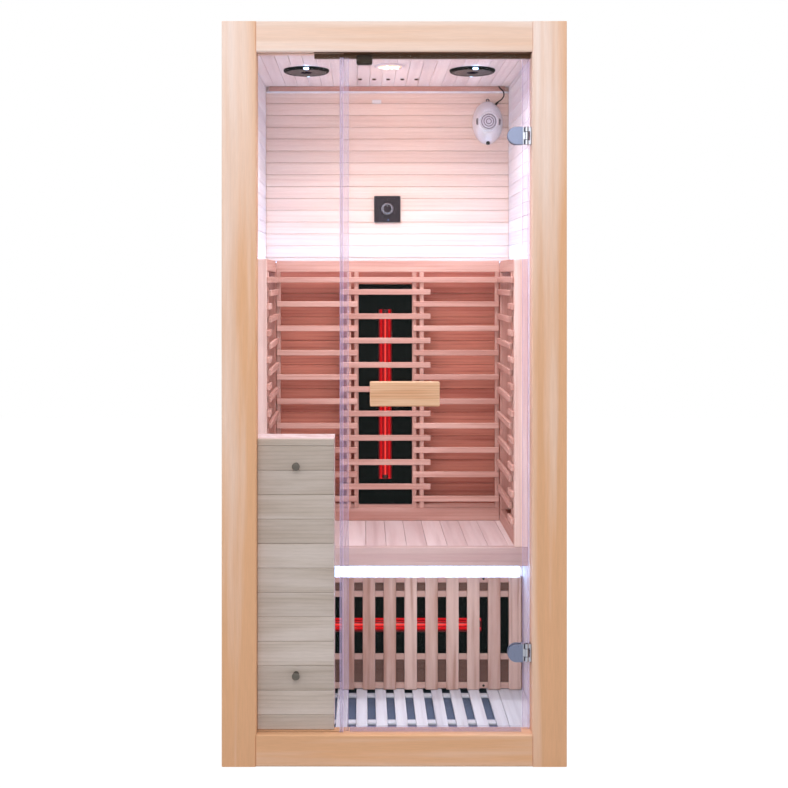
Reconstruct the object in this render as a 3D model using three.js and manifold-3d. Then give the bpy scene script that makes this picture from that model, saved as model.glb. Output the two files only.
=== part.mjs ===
// Infrared sauna cabin for one person, with a glass front and a slatted seat.
// Millimetres, +Z up. The origin is under the middle of the floor and the front faces -Y.
import * as THREE from 'three';
import { mergeVertices } from 'three/addons/utils/BufferGeometryUtils.js';
import Module from 'manifold-3d';

const wasm = await Module();
wasm.setup();

// Shell
const CABIN_WIDTH = 880;
const CABIN_DEPTH = 900;
const CABIN_HEIGHT = 1900;
const SIDE_WALL_THICKNESS = 42;
const BACK_WALL_THICKNESS = 42;
const ROOF_THICKNESS = 25;
const CEILING_BOARD_THICKNESS = 10;
const ROOF_RIM_WIDTH = 45;
const ROOF_SKIN_THICKNESS = 4;
const BASE_THICKNESS = 4;
const CORNICE_HEIGHT = 22;
const CORNICE_DEPTH = 10;
const CORNICE_END_GAP = 11;

// Clearance between pieces that touch
const SEAT_GAP = 0.3;

// Tongue-and-groove boards
const BOARD_PITCH = 39;
const CLADDING_PITCH = 195;
const GROOVE_WIDTH = 3;
const GROOVE_DEPTH = 2;

// Front frame
const POST_WIDTH = 88;
const FRAME_DEPTH = 55;
const TOP_RAIL_HEIGHT = 78;
const SILL_HEIGHT = 81.5;
const FRAME_EASE = 3;

// Duckboard floor
const FLOOR_SLAT_COUNT = 12;
const FLOOR_SLAT_WIDTH = 32;
const FLOOR_SLAT_THICKNESS = 10;
const FLOOR_SIDE_BOARD = 76;
const FLOOR_SIDE_GAP = 1;
const FLOOR_BATTEN_HEIGHT = 8;
const FLOOR_BATTEN_WIDTH = 30;
const FLOOR_BATTEN_COUNT = 3;
const FLOOR_BATTEN_INSET = 15;

// Glass front
const GLASS_THICKNESS = 8;
const GLASS_SETBACK = 18;
const GLASS_REBATE = 8;
const FIXED_PANE_WIDTH = 220;
const PANE_GAP = 3;
const DOOR_TOP_GAP = 3;
const DOOR_BOTTOM_GAP = 4;
const SEAL_WALL = 1.2;
const SEAL_GRIP = 7;
const SEAL_FIN = 15;
const BOTTOM_SEAL_DROP = 2.5;
const BOTTOM_SEAL_GRIP = 10;
const POST_SEAL_BASE_WIDTH = 5;
const POST_SEAL_BASE_DEPTH = 12;
const POST_SEAL_REACH = 20;
const POST_SEAL_SETBACK = 39;
const POST_SEAL_FIN = 2.5;

// Door hinges: a bracket on the post and a clamp on the glass
const PIVOT_TO_POST = 12;
const PIVOT_TO_GLASS = 14;
const UPPER_HINGE_DROP = 209;
const LOWER_HINGE_RISE = 199.5;
const HINGE_HEIGHT = 46;
const CLAMP_LENGTH = 39;
const CLAMP_PLATE = 5;
const CLAMP_WEB = 3.2;
const CLAMP_BOLT_RADIUS = 5;
const CLAMP_BOLT_HOLE_RADIUS = 6.5;
const KNUCKLE_RADIUS = 6.8;
const KNUCKLE_HEIGHT = 20;
const KNUCKLE_GAP = 0.5;
const TONGUE_THICKNESS = 10;
const PIN_RADIUS = 3;
const PIN_CLEARANCE = 0.3;
const BRACKET_PLATE = 3.5;
const BRACKET_BEHIND_PIVOT = 16;
const BRACKET_BEFORE_PIVOT = 6.5;

// Door handle: a wooden block on each side of the glass
const HANDLE_LENGTH = 176;
const HANDLE_HEIGHT = 62;
const HANDLE_THICKNESS = 26;
const HANDLE_CHAMFER = 5;
const HANDLE_FROM_EDGE = 155;
const HANDLE_Z = 952;
const HANDLE_FINGER_GAP = 20;
const HANDLE_BOLT_SPACING = 112;
const HANDLE_BOLT_RADIUS = 4;
const HANDLE_BOLT_DEPTH = 14;
const HANDLE_SLEEVE_RADIUS = 9;
const GLASS_HOLE_CLEARANCE = 1.5;

// Head stop and magnetic catch
const STOP_PAST_PANE = 73;
const STOP_HEIGHT = 11;
const STOP_DEPTH = 15;
const STOP_BEHIND_GLASS = 4;
const CATCH_FROM_EDGE = 53;
const CATCH_WIDTH = 41;
const CATCH_HEIGHT = 15;
const CATCH_DEPTH = 18;
const CATCH_ROUND = 5;
const STRIKE_HEIGHT = 22;
const STRIKE_THICKNESS = 2.4;

// Boarded box behind the fixed pane
const BOX_WIDTH = 198;
const BOX_TOP_Z = 831;
const BOX_BEHIND_GLASS = 8;
const BOX_DEPTH = 98;
const BOX_WALL = 12;
const BOX_BOARD_PITCH = 63;
const BOX_TOP_BOARD = 18;
const BOX_BOLT_FROM_POST = 100;
const BOX_BOLT_UPPER_DROP = 69;
const BOX_BOLT_LOWER_RISE = 143.5;
const BOX_BOLT_CAP_RADIUS = 10;
const BOX_BOLT_CAP_THICKNESS = 4;
const BOX_BOLT_RADIUS = 4;
const BOX_BOLT_WASHER_RADIUS = 8;

// Bench
const SEAT_Z = 467;
const SEAT_THICKNESS = 20;
const SEAT_DEPTH = 454;
const APRON_HEIGHT = 55;
const APRON_THICKNESS = 22;
const BENCH_BEARER = 30;
const BENCH_FRONT_BEARER = 20;
const BENCH_LEG = 22;
const BENCH_LED_HEIGHT = 29;
const BENCH_LED_DEPTH = 11;
const BENCH_LED_END_GAP = 12;

// Kick grille below the bench
const KICK_SETBACK = 86;
const KICK_BELOW_SEAT = 110;
const KICK_FLOOR_GAP = 2;
const KICK_SLAT_COUNT = 13;
const KICK_SLAT_WIDTH = 37;
const KICK_END_GAP = 7.5;
const KICK_BATTEN_HEIGHT = 18;

// Grilles round the seat: rows of slats that alternate between bays
const GRILLE_SLAT_HEIGHT = 18;
const GRILLE_SLAT_THICKNESS = 10;
const TIMBER_EASE = 1.5;
const GRILLE_ROW_PITCH = 39;
const GRILLE_FIRST_ROW_DROP = 61;
const GRILLE_HEIGHT = 835;
const GRILLE_TOP_RAIL = 36;
const GRILLE_BOTTOM_RAIL = 41;
const GRILLE_LIP_HEIGHT = 12;
const GRILLE_LIP_SETBACK = 8;
const GRILLE_RAIL_THICKNESS = 16;
const GRILLE_BATTEN_DEPTH = 19;
const GRILLE_BATTEN_WIDTH = 14;
const GRILLE_BATTEN_TOP_DROP = 22;
const BACKREST_FROM_WALL = 94;
const BACKREST_BAY_X = -8;
const BACKREST_BAY_HALF = 86;
const BACKREST_BATTEN_GAP = 10;
const BACKREST_SLAT_OVERHANG = 21;
const BACKREST_SLAT_INSET = 3;
const BACKREST_END_GAP = 2;
const SIDE_GRILLE_FROM_WALL = 49;
const SIDE_STILE_DEPTH = 26;
const SIDE_SLAT_SETBACK = 8;
const SIDE_BAY_START = 49;
const SIDE_BAY_OVERLAP = 37;
const SIDE_BATTEN_INSET = 3;
const BACKREST_LED_HEIGHT = 14;
const BACKREST_LED_DEPTH = 9;
const BACKREST_LED_DROP = 3;

// Infrared heaters: the back one stands, the calf one lies
const BACK_HEATER_LENGTH = 707;
const CALF_HEATER_END_GAP = 22.2;
const HEATER_WIDTH = 168;
const HEATER_DEPTH = 57;
const HEATER_BEHIND_SLATS = 5;
const HEATER_FLANGE_WIDTH = 12;
const HEATER_SHEET = 2;
const HEATER_TROUGH_RADIUS = 22;
const HEATER_TUBE_END_GAP = 81.5;
const HEATER_TUBE_RADIUS = 8;
const HEATER_TUBE_SETBACK = 10;
const HEATER_COLLAR_LENGTH = 12;
const HEATER_COLLAR_RADIUS = 10;
const BACK_HEATER_ABOVE_SEAT = 53;
const CALF_HEATER_Z = 212;

// Ceiling lights, centre lamp and vent holes
const LIGHT_FROM_SIDE = 147;
const LIGHT_FROM_BACK = 303;
const LIGHT_RADIUS = 69;
const LIGHT_LENS_RADIUS = 54;
const LIGHT_PROUD = 9;
const LAMP_FROM_BACK = 372;
const LAMP_RADIUS = 45;
const LAMP_LENS_RADIUS = 35;
const LAMP_PROUD = 7;
const LIGHT_CAN_WALL = 3;
const LIGHT_CAN_HEIGHT = 15;
const VENT_COUNT = 5;
const VENT_PITCH = 44.5;
const VENT_RADIUS = 6.5;
const VENT_FROM_BACK = 149;

// Wall controller and temperature sensor
const CONTROLLER_SIZE = 86;
const CONTROLLER_THICKNESS = 9;
const CONTROLLER_ROUND = 6;
const CONTROLLER_Z = 1473;
const KNOB_SKIRT_RADIUS = 20;
const KNOB_SKIRT_HEIGHT = 4;
const KNOB_RADIUS = 16;
const KNOB_HEIGHT = 20;
const KNOB_NOTCH = 2;
const KNOB_NOTCH_DEPTH = 1.5;
const SENSOR_X = -35;
const SENSOR_FROM_CEILING = 50;
const SENSOR_WIDTH = 30;
const SENSOR_HEIGHT = 12.5;
const SENSOR_DEPTH = 9;
const SENSOR_ROUND = 2.5;

// Ionizer on the back wall, with its lead to the ceiling
const IONIZER_FROM_SIDE = 69;
const IONIZER_FROM_CEILING = 119;
const IONIZER_WIDTH = 100;
const IONIZER_HEIGHT = 141;
const IONIZER_DEPTH = 45;
const IONIZER_RING_RADIUS = 30.5;
const IONIZER_RING_WIDTH = 4.7;
const IONIZER_RING_SETBACK = 8;
const IONIZER_LENS_RISE = 6;
const IONIZER_LENS_EDGE = 2;
const IONIZER_SLOT_RADIUS = 37;
const IONIZER_SLOT_WIDTH = 3;
const IONIZER_SLOT_ANGLE = 0.6;
const IONIZER_SLOT_DEPTH = 26;
const IONIZER_EYE_RADIUS = 4.5;
const IONIZER_EYE_WIRE = 1.6;
const IONIZER_EYE_SETBACK = 6;
const SWITCH_RADIUS = 6.5;
const SWITCH_LENGTH = 14;
const SWITCH_PROUD = 6;
const SWITCH_SETBACK = 15;
const SWITCH_TRAVEL = 2;
const LEAD_RADIUS = 2;
const LEAD_BOOT_RADIUS = 4.5;
const LEAD_BOOT_TIP_RADIUS = 3;
const LEAD_STEPS = 12;
const LEAD_SIDES = 6;
const LEAD_BOOT_START = [21, 53];
const LEAD_BOOT_END = [34, 68];
const LEAD_BOOT_OVERLAP = 4;
const LEAD_WALL_OFFSET = 9;
const LEAD_CORNICE_OFFSET = 15;
const LEAD_ROUTE = [[42, 73], [50, 82], [52.5, 93], [48, 104], [39, 112]];
const LEAD_TOP_X = 36;
const LEAD_TOP_ENTRY = 5;

// Power box under the bench and the mains gland behind it
const POWER_BOX_FROM_SIDE = 168;
const POWER_BOX_Z = 165;
const POWER_BOX_WIDTH = 180;
const POWER_BOX_HEIGHT = 130;
const POWER_BOX_DEPTH = 70;
const POWER_BOX_ROUND = 8;
const GLAND_RADIUS = 9;
const GLAND_FLANGE_RADIUS = 15;
const GLAND_FLANGE_THICKNESS = 4;
const GLAND_DOME_RADIUS = 12;
const GLAND_DOME_LENGTH = 9;
const GLAND_BORE_RADIUS = 4.5;

const ROUND_SIDES = 20;
const SMALL_ROUND_SIDES = 10;
const ARC_STEPS = 8;
const CORNER_STEPS = 3;
const DOME_STEPS = 2;
const MERGE_TOLERANCE = 1e-4;

const CABIN_TIMBER = { color: 0xdcb182, roughness: 0.55, metalness: 0 };
const INNER_TIMBER = { color: 0xebc4b4, roughness: 0.6, metalness: 0 };
const SLAT_TIMBER = { color: 0xeccab8, roughness: 0.55, metalness: 0 };
const BENCH_TIMBER = { color: 0xd8b0a2, roughness: 0.55, metalness: 0 };
const BOX_TIMBER = { color: 0xbdafa0, roughness: 0.6, metalness: 0 };
const HANDLE_TIMBER = { color: 0xe0b080, roughness: 0.5, metalness: 0 };
const STOP_TIMBER = { color: 0x5a3a22, roughness: 0.6, metalness: 0 };
const CLEAR_GLASS = { color: 0xdfe9e6, roughness: 0.05, metalness: 0, transparent: true, opacity: 0.3 };
const CLEAR_SEAL = { color: 0xd9d6da, roughness: 0.3, metalness: 0, transparent: true, opacity: 0.5 };
const SATIN_METAL = { color: 0xb9bcc4, roughness: 0.3, metalness: 1 };
const BLACK_METAL = { color: 0x141316, roughness: 0.5, metalness: 0.3 };
const BLACK_PLASTIC = { color: 0x17171a, roughness: 0.35, metalness: 0 };
const DARK_STEEL = { color: 0x2e2620, roughness: 0.45, metalness: 0.4 };
const HEATER_RED = { color: 0xff2a18, roughness: 0.3, metalness: 0, emissive: 0xd01008 };
const LED_WHITE = { color: 0xf6f8ff, roughness: 0.4, metalness: 0, emissive: 0xffffff };
const LAMP_WARM = { color: 0xfff3d8, roughness: 0.3, metalness: 0, emissive: 0xfff0c8 };
const LENS_BLUE = { color: 0x1c2740, roughness: 0.08, metalness: 0 };
const LENS_LAVENDER = { color: 0xb9b4d6, roughness: 0.15, metalness: 0 };
const SILVER_PLASTIC = { color: 0xc4c6cf, roughness: 0.3, metalness: 0.5 };
const WHITE_PLASTIC = { color: 0xf0eeea, roughness: 0.45, metalness: 0 };
const FLOOR_SHEET = { color: 0x6f7f9b, roughness: 0.6, metalness: 0 };
const ROOF_SHEET = { color: 0xd9b78f, roughness: 0.7, metalness: 0 };

// Main planes of the cabin
const halfWidth = CABIN_WIDTH / 2;
const frontY = -CABIN_DEPTH / 2;
const backY = CABIN_DEPTH / 2;
const innerX = halfWidth - SIDE_WALL_THICKNESS;
const innerBackY = backY - BACK_WALL_THICKNESS;
const frameBackY = frontY + FRAME_DEPTH;
const openingX = halfWidth - POST_WIDTH;
const openingTopZ = CABIN_HEIGHT - TOP_RAIL_HEIGHT;
const ceilingZ = CABIN_HEIGHT - ROOF_THICKNESS;
const glassFrontY = frontY + GLASS_SETBACK;
const glassBackY = glassFrontY + GLASS_THICKNESS;
const glassMidY = glassFrontY + GLASS_THICKNESS / 2;
const paneEdgeX = FIXED_PANE_WIDTH - openingX;
const doorEdgeX = paneEdgeX + PANE_GAP;
const pivotX = openingX - PIVOT_TO_POST;
const lightX = innerX - LIGHT_FROM_SIDE;
const lightY = innerBackY - LIGHT_FROM_BACK;
const lampY = innerBackY - LAMP_FROM_BACK;
const ventY = innerBackY - VENT_FROM_BACK;
const ionizerX = innerX - IONIZER_FROM_SIDE;
const ionizerZ = ceilingZ - IONIZER_FROM_CEILING;
const powerBoxX = POWER_BOX_FROM_SIDE - innerX;

const cabin = new THREE.Group();

function addPiece(name, geometry, look, parent = cabin) {
  const piece = new THREE.Mesh(geometry, new THREE.MeshStandardMaterial(look));
  piece.name = name;
  parent.add(piece);
  return piece;
}

// Closed triangle mesh with shared corners and no collapsed triangles
function closedMesh(geometry) {
  const bare = geometry.clone();
  bare.deleteAttribute('normal');
  bare.deleteAttribute('uv');
  const merged = mergeVertices(bare, MERGE_TOLERANCE);
  const kept = [];
  const corners = merged.index.array;
  for (let i = 0; i < corners.length; i += 3) {
    const [a, b, c] = [corners[i], corners[i + 1], corners[i + 2]];
    if (a !== b && b !== c && c !== a) kept.push(a, b, c);
  }
  merged.setIndex(kept);
  return merged;
}

function solidOf(geometry) {
  const merged = closedMesh(geometry);
  const vertProperties = new Float32Array(merged.attributes.position.array);
  const triVerts = new Uint32Array(merged.index.array);
  return new wasm.Manifold(new wasm.Mesh({ numProp: 3, vertProperties, triVerts }));
}

function geometryOf(solid) {
  const { vertProperties, triVerts } = solid.getMesh();
  const geometry = new THREE.BufferGeometry();
  geometry.setAttribute('position', new THREE.BufferAttribute(new Float32Array(vertProperties), 3));
  geometry.setIndex(Array.from(triVerts));
  geometry.computeVertexNormals();
  return geometry;
}

const joined = (pieces) => geometryOf(pieces.map(solidOf).reduce((whole, part) => whole.add(part)));

const cutFrom = (blank, cutters) => geometryOf(
  cutters.map(solidOf).reduce((left, cutter) => left.subtract(cutter), solidOf(blank)),
);

function extruded(outline, length) {
  return new THREE.ExtrudeGeometry(outline, { depth: length, bevelEnabled: false });
}

// Outline drawn in Y and Z
function alongX(outline, x0, x1) {
  const turn = new THREE.Matrix4().makeBasis(
    new THREE.Vector3(0, 1, 0),
    new THREE.Vector3(0, 0, 1),
    new THREE.Vector3(1, 0, 0),
  );
  return extruded(outline, x1 - x0).applyMatrix4(turn).translate(x0, 0, 0);
}

// Outline drawn in X and Z
function alongY(outline, y0, y1) {
  return extruded(outline, y1 - y0).rotateX(quarterTurn).translate(0, y1, 0);
}

// Outline drawn in X and Y
function alongZ(outline, z0, z1) {
  return extruded(outline, z1 - z0).translate(0, 0, z0);
}

function polygon(points) {
  return new THREE.Shape(points.map(([u, v]) => new THREE.Vector2(u, v)));
}

function rectangle([u0, u1], [v0, v1], ease = 0) {
  if (ease === 0) return polygon([[u0, v0], [u1, v0], [u1, v1], [u0, v1]]);
  return polygon([
    [u0 + ease, v0], [u1 - ease, v0], [u1, v0 + ease], [u1, v1 - ease],
    [u1 - ease, v1], [u0 + ease, v1], [u0, v1 - ease], [u0, v0 + ease],
  ]);
}

function arc(u, v, radius, from, to, steps) {
  return Array.from({ length: steps + 1 }, (_, i) => {
    const angle = from + ((to - from) * i) / steps;
    return [u + radius * Math.cos(angle), v + radius * Math.sin(angle)];
  });
}

const quarterTurn = Math.PI / 2;

function roundedRectangle([u0, u1], [v0, v1], radius) {
  const corner = (u, v, i) => arc(u, v, radius, i * quarterTurn, (i + 1) * quarterTurn, CORNER_STEPS);
  return polygon([
    ...corner(u1 - radius, v1 - radius, 0), ...corner(u0 + radius, v1 - radius, 1),
    ...corner(u0 + radius, v0 + radius, 2), ...corner(u1 - radius, v0 + radius, 3),
  ]);
}

function circle(u, v, radius, sides = ROUND_SIDES) {
  return polygon(arc(u, v, radius, 0, 2 * Math.PI, sides).slice(0, sides));
}

// Round hole whose flats, not its corners, lie at the radius
function bore(u, v, radius, sides = ROUND_SIDES) {
  return circle(u, v, radius / Math.cos(Math.PI / sides), sides);
}

// Quarter of an ellipse from the rim of a dome to its top
function dome(radius, base, rise) {
  return Array.from({ length: DOME_STEPS + 1 }, (_, i) => {
    const angle = (quarterTurn * i) / DOME_STEPS;
    return i === DOME_STEPS ? [0, base + rise] : [radius * Math.cos(angle), base + rise * Math.sin(angle)];
  });
}

// Turned piece: profile points are [radius, height], listed from the low end of the axis to the high end
function turned(profile, sides = ROUND_SIDES) {
  const lathe = new THREE.LatheGeometry(profile.map(([r, h]) => new THREE.Vector2(r, h)), sides);
  return closedMesh(lathe);
}

const turnedUp = (profile, sides) => turned(profile, sides).rotateX(quarterTurn);

function stations(first, last, pitch) {
  const count = Math.max(0, Math.floor((last - first) / pitch) + 1);
  return Array.from({ length: count }, (_, i) => first + i * pitch);
}

// Straight run of an outline with V-grooves cut square to it at the given distances from its start
function grooveRun([u0, v0], [u1, v1], distances) {
  const length = Math.hypot(u1 - u0, v1 - v0);
  const [du, dv] = [(u1 - u0) / length, (v1 - v0) / length];
  const at = (along, into) => [u0 + du * along - dv * into, v0 + dv * along + du * into];
  return distances.flatMap((d) => [
    at(d - GROOVE_WIDTH / 2, 0), at(d, GROOVE_DEPTH), at(d + GROOVE_WIDTH / 2, 0),
  ]);
}

// Walls: boards run level, with close boards inside and wide cladding outside
const wallHeight = ceilingZ - SEAT_GAP;

function wallSection(thickness) {
  const inside = stations(BOARD_PITCH, wallHeight - GROOVE_WIDTH, BOARD_PITCH);
  const outside = stations(CLADDING_PITCH, wallHeight - GROOVE_WIDTH, CLADDING_PITCH);
  return polygon([
    [-thickness, 0], [0, 0],
    ...grooveRun([0, 0], [0, wallHeight], inside),
    [0, wallHeight], [-thickness, wallHeight],
    ...grooveRun([-thickness, wallHeight], [-thickness, 0], outside),
  ]);
}

const sideWallStart = frameBackY + SEAT_GAP;
const sideWallEnd = innerBackY - SEAT_GAP;
const sideWallLength = sideWallEnd - sideWallStart;
const sideWallMiddle = (sideWallStart + sideWallEnd) / 2;

function sideWall() {
  return alongY(wallSection(SIDE_WALL_THICKNESS), -sideWallLength / 2, sideWallLength / 2);
}

addPiece('left_wall', sideWall(), INNER_TIMBER).position.set(-innerX, sideWallMiddle, 0);
const rightWall = addPiece('right_wall', sideWall(), INNER_TIMBER);
rightWall.position.set(innerX, sideWallMiddle, 0);
rightWall.rotation.z = Math.PI;

const glandHole = alongY(
  bore(powerBoxX, POWER_BOX_Z, GLAND_RADIUS + SEAT_GAP, SMALL_ROUND_SIDES),
  innerBackY - GROOVE_DEPTH, backY + GROOVE_DEPTH,
);
const backWallBlank = alongY(wallSection(BACK_WALL_THICKNESS), -halfWidth, halfWidth)
  .rotateZ(-quarterTurn)
  .translate(0, innerBackY, 0);
addPiece('back_wall', cutFrom(backWallBlank, [glandHole]), INNER_TIMBER);

addPiece('back_cornice', alongX(
  rectangle(
    [innerBackY - CORNICE_DEPTH, innerBackY - SEAT_GAP],
    [ceilingZ - CORNICE_HEIGHT, ceilingZ - SEAT_GAP],
  ),
  -(innerX - CORNICE_END_GAP), innerX - CORNICE_END_GAP,
), INNER_TIMBER);

// Front frame: posts, top rail and sill, grooved for the fixed pane
const paneGrooveY = [glassFrontY - SEAT_GAP, glassBackY + SEAT_GAP];
const paneLeftX = -openingX - GLASS_REBATE;
const paneBottomZ = SILL_HEIGHT - GLASS_REBATE;
const paneTopZ = openingTopZ + GLASS_REBATE;
const paneGroove = alongY(
  rectangle([paneLeftX - SEAT_GAP, paneEdgeX + SEAT_GAP], [paneBottomZ - SEAT_GAP, paneTopZ + SEAT_GAP]),
  ...paneGrooveY,
);
const frameY = [frontY, frameBackY];
const railX = [-openingX + SEAT_GAP, openingX - SEAT_GAP];
const leftPost = alongZ(rectangle([-halfWidth, -openingX], frameY, FRAME_EASE), 0, CABIN_HEIGHT);
const rightPost = alongZ(rectangle([openingX, halfWidth], frameY, FRAME_EASE), 0, CABIN_HEIGHT);
const topRail = alongX(rectangle(frameY, [openingTopZ, CABIN_HEIGHT], FRAME_EASE), ...railX);
const sill = alongX(rectangle(frameY, [0, SILL_HEIGHT], FRAME_EASE), ...railX);
addPiece('front_post_left', cutFrom(leftPost, [paneGroove]), CABIN_TIMBER);
addPiece('front_post_right', rightPost, CABIN_TIMBER);
addPiece('front_top_rail', cutFrom(topRail, [paneGroove]), CABIN_TIMBER);
addPiece('front_sill', cutFrom(sill, [paneGroove]), CABIN_TIMBER);

// Ceiling boards run front to back; the roof cover is a shallow tray laid over them
const roofY = [frameBackY + SEAT_GAP, backY];
const ceilingTopZ = ceilingZ + CEILING_BOARD_THICKNESS;
const ceilingSection = polygon([
  [-halfWidth, ceilingZ],
  ...grooveRun([-halfWidth, ceilingZ], [halfWidth, ceilingZ],
    stations(SIDE_WALL_THICKNESS + BOARD_PITCH / 2, CABIN_WIDTH - SIDE_WALL_THICKNESS, BOARD_PITCH)),
  [halfWidth, ceilingZ], [halfWidth, ceilingTopZ], [-halfWidth, ceilingTopZ],
]);
const throughCeiling = [ceilingZ - GROOVE_WIDTH, ceilingTopZ + GROOVE_WIDTH];
const lightCanRadius = LIGHT_LENS_RADIUS + LIGHT_CAN_WALL;
const lampCanRadius = LAMP_LENS_RADIUS + LIGHT_CAN_WALL;
const ceilingHole = (x, y, radius, sides) => alongZ(bore(x, y, radius, sides), ...throughCeiling);
const ventX = Array.from({ length: VENT_COUNT }, (_, i) => (i - (VENT_COUNT - 1) / 2) * VENT_PITCH);
const leadTopY = innerBackY - LEAD_CORNICE_OFFSET;
addPiece('ceiling_panel', cutFrom(alongY(ceilingSection, ...roofY), [
  ceilingHole(-lightX, lightY, lightCanRadius + SEAT_GAP),
  ceilingHole(lightX, lightY, lightCanRadius + SEAT_GAP),
  ceilingHole(0, lampY, lampCanRadius + SEAT_GAP),
  ceilingHole(ionizerX + LEAD_TOP_X, leadTopY, LEAD_RADIUS + SEAT_GAP, SMALL_ROUND_SIDES),
  ...ventX.map((x) => ceilingHole(x, ventY, VENT_RADIUS, SMALL_ROUND_SIDES)),
]), INNER_TIMBER);

const roofLowZ = ceilingTopZ + SEAT_GAP;
const roofBlank = alongZ(rectangle([-halfWidth, halfWidth], roofY), roofLowZ, CABIN_HEIGHT);
const roofHollow = alongZ(
  rectangle(
    [-halfWidth + ROOF_RIM_WIDTH, halfWidth - ROOF_RIM_WIDTH],
    [roofY[0] + ROOF_RIM_WIDTH, roofY[1] - ROOF_RIM_WIDTH],
  ),
  roofLowZ - ROOF_SKIN_THICKNESS, CABIN_HEIGHT - ROOF_SKIN_THICKNESS,
);
addPiece('roof_cover', cutFrom(roofBlank, [
  roofHollow,
  ...ventX.map((x) => alongZ(
    bore(x, ventY, VENT_RADIUS, SMALL_ROUND_SIDES), roofLowZ, CABIN_HEIGHT + ROOF_SKIN_THICKNESS,
  )),
]), ROOF_SHEET);

// Floor: a sheet between the walls, with a slatted duckboard in front of the bench
const floorX = [-innerX + SEAT_GAP, innerX - SEAT_GAP];
addPiece('base_panel', alongZ(
  rectangle(floorX, [frameBackY + SEAT_GAP, innerBackY - SEAT_GAP]), 0, BASE_THICKNESS,
), FLOOR_SHEET);

const seatFrontY = innerBackY - SEAT_DEPTH;
const kickFrontY = seatFrontY + KICK_SETBACK;
const slatBackY = (slatFrontY) => slatFrontY + GRILLE_SLAT_THICKNESS;
const kickBattenBackY = slatBackY(kickFrontY) + GRILLE_BATTEN_DEPTH;
const duckboardY = [frameBackY + SEAT_GAP, kickBattenBackY - SEAT_GAP];
const floorBattenZ = [BASE_THICKNESS + SEAT_GAP, BASE_THICKNESS + FLOOR_BATTEN_HEIGHT];
const floorSlatTopZ = floorBattenZ[1] + FLOOR_SLAT_THICKNESS;
const floorSlatZ = [floorBattenZ[1], floorSlatTopZ];
const slatZoneHalf = innerX - SEAT_GAP - FLOOR_SIDE_BOARD - FLOOR_SIDE_GAP;
const floorSlatPitch = (2 * slatZoneHalf - FLOOR_SLAT_WIDTH) / (FLOOR_SLAT_COUNT - 1);
const floorSlatX = Array.from({ length: FLOOR_SLAT_COUNT }, (_, i) => {
  const left = -slatZoneHalf + i * floorSlatPitch;
  return [left, left + FLOOR_SLAT_WIDTH];
});
const sideBoardX = [
  [floorX[0], floorX[0] + FLOOR_SIDE_BOARD],
  [floorX[1] - FLOOR_SIDE_BOARD, floorX[1]],
];
const floorBattenStart = duckboardY[0] + FLOOR_BATTEN_INSET;
const floorBattenRun = duckboardY[1] - FLOOR_BATTEN_INSET - FLOOR_BATTEN_WIDTH - floorBattenStart;
const floorBattens = Array.from({ length: FLOOR_BATTEN_COUNT }, (_, i) => {
  const y = floorBattenStart + (i * floorBattenRun) / (FLOOR_BATTEN_COUNT - 1);
  return alongX(rectangle([y, y + FLOOR_BATTEN_WIDTH], floorBattenZ), ...floorX);
});
addPiece('floor_duckboard', joined([
  ...floorBattens,
  ...[...floorSlatX, ...sideBoardX].map((x) => alongY(rectangle(x, floorSlatZ), ...duckboardY)),
]), SLAT_TIMBER);

// Fixed pane, drilled for the bolts of the box behind it
const boxBoltX = BOX_BOLT_FROM_POST - openingX;
const boxBoltZ = { upper: BOX_TOP_Z - BOX_BOLT_UPPER_DROP, lower: SILL_HEIGHT + BOX_BOLT_LOWER_RISE };
const boltHole = (x, z, radius, y0, y1) => alongY(bore(x, z, radius, SMALL_ROUND_SIDES), y0, y1);
const paneOutline = rectangle([paneLeftX, paneEdgeX], [paneBottomZ, paneTopZ]);
const paneBlank = alongY(paneOutline, glassFrontY, glassBackY);
addPiece('fixed_glass', cutFrom(paneBlank, Object.values(boxBoltZ).map((z) => boltHole(
  boxBoltX, z, BOX_BOLT_RADIUS + GLASS_HOLE_CLEARANCE,
  glassFrontY - GLASS_THICKNESS, glassBackY + GLASS_THICKNESS,
))), CLEAR_GLASS);

// Joint seal: grips the fixed pane's edge, with a fin behind the door's edge
const sealZ = [SILL_HEIGHT + SEAT_GAP, openingTopZ - STOP_HEIGHT - SEAT_GAP];
const sealFrontY = glassFrontY - SEAT_GAP;
const sealBackY = glassBackY + SEAT_GAP;
addPiece('fixed_glass_seal', alongZ(polygon([
  [paneEdgeX - SEAL_GRIP, sealFrontY - SEAL_WALL],
  [paneEdgeX + SEAT_GAP + SEAL_WALL, sealFrontY - SEAL_WALL],
  [paneEdgeX + SEAT_GAP + SEAL_WALL, sealBackY],
  [paneEdgeX + SEAL_FIN, sealBackY],
  [paneEdgeX + SEAL_FIN, sealBackY + SEAL_WALL],
  [paneEdgeX - SEAL_GRIP, sealBackY + SEAL_WALL],
  [paneEdgeX - SEAL_GRIP, sealBackY],
  [paneEdgeX + SEAT_GAP, sealBackY],
  [paneEdgeX + SEAT_GAP, sealFrontY],
  [paneEdgeX - SEAL_GRIP, sealFrontY],
]), ...sealZ), CLEAR_SEAL);

// Seal on the hinge post, behind the door
const postSealX = openingX - SEAT_GAP;
const postSealY = frontY + POST_SEAL_SETBACK;
addPiece('hinge_post_seal', alongZ(polygon([
  [postSealX - POST_SEAL_BASE_WIDTH, postSealY],
  [postSealX, postSealY],
  [postSealX, postSealY + POST_SEAL_BASE_DEPTH],
  [postSealX - POST_SEAL_BASE_WIDTH, postSealY + POST_SEAL_BASE_DEPTH],
  [postSealX - POST_SEAL_BASE_WIDTH, postSealY + 2 * POST_SEAL_FIN],
  [postSealX - POST_SEAL_REACH, postSealY + POST_SEAL_FIN],
  [postSealX - POST_SEAL_REACH, postSealY],
]), ...sealZ), CLEAR_SEAL);

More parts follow.
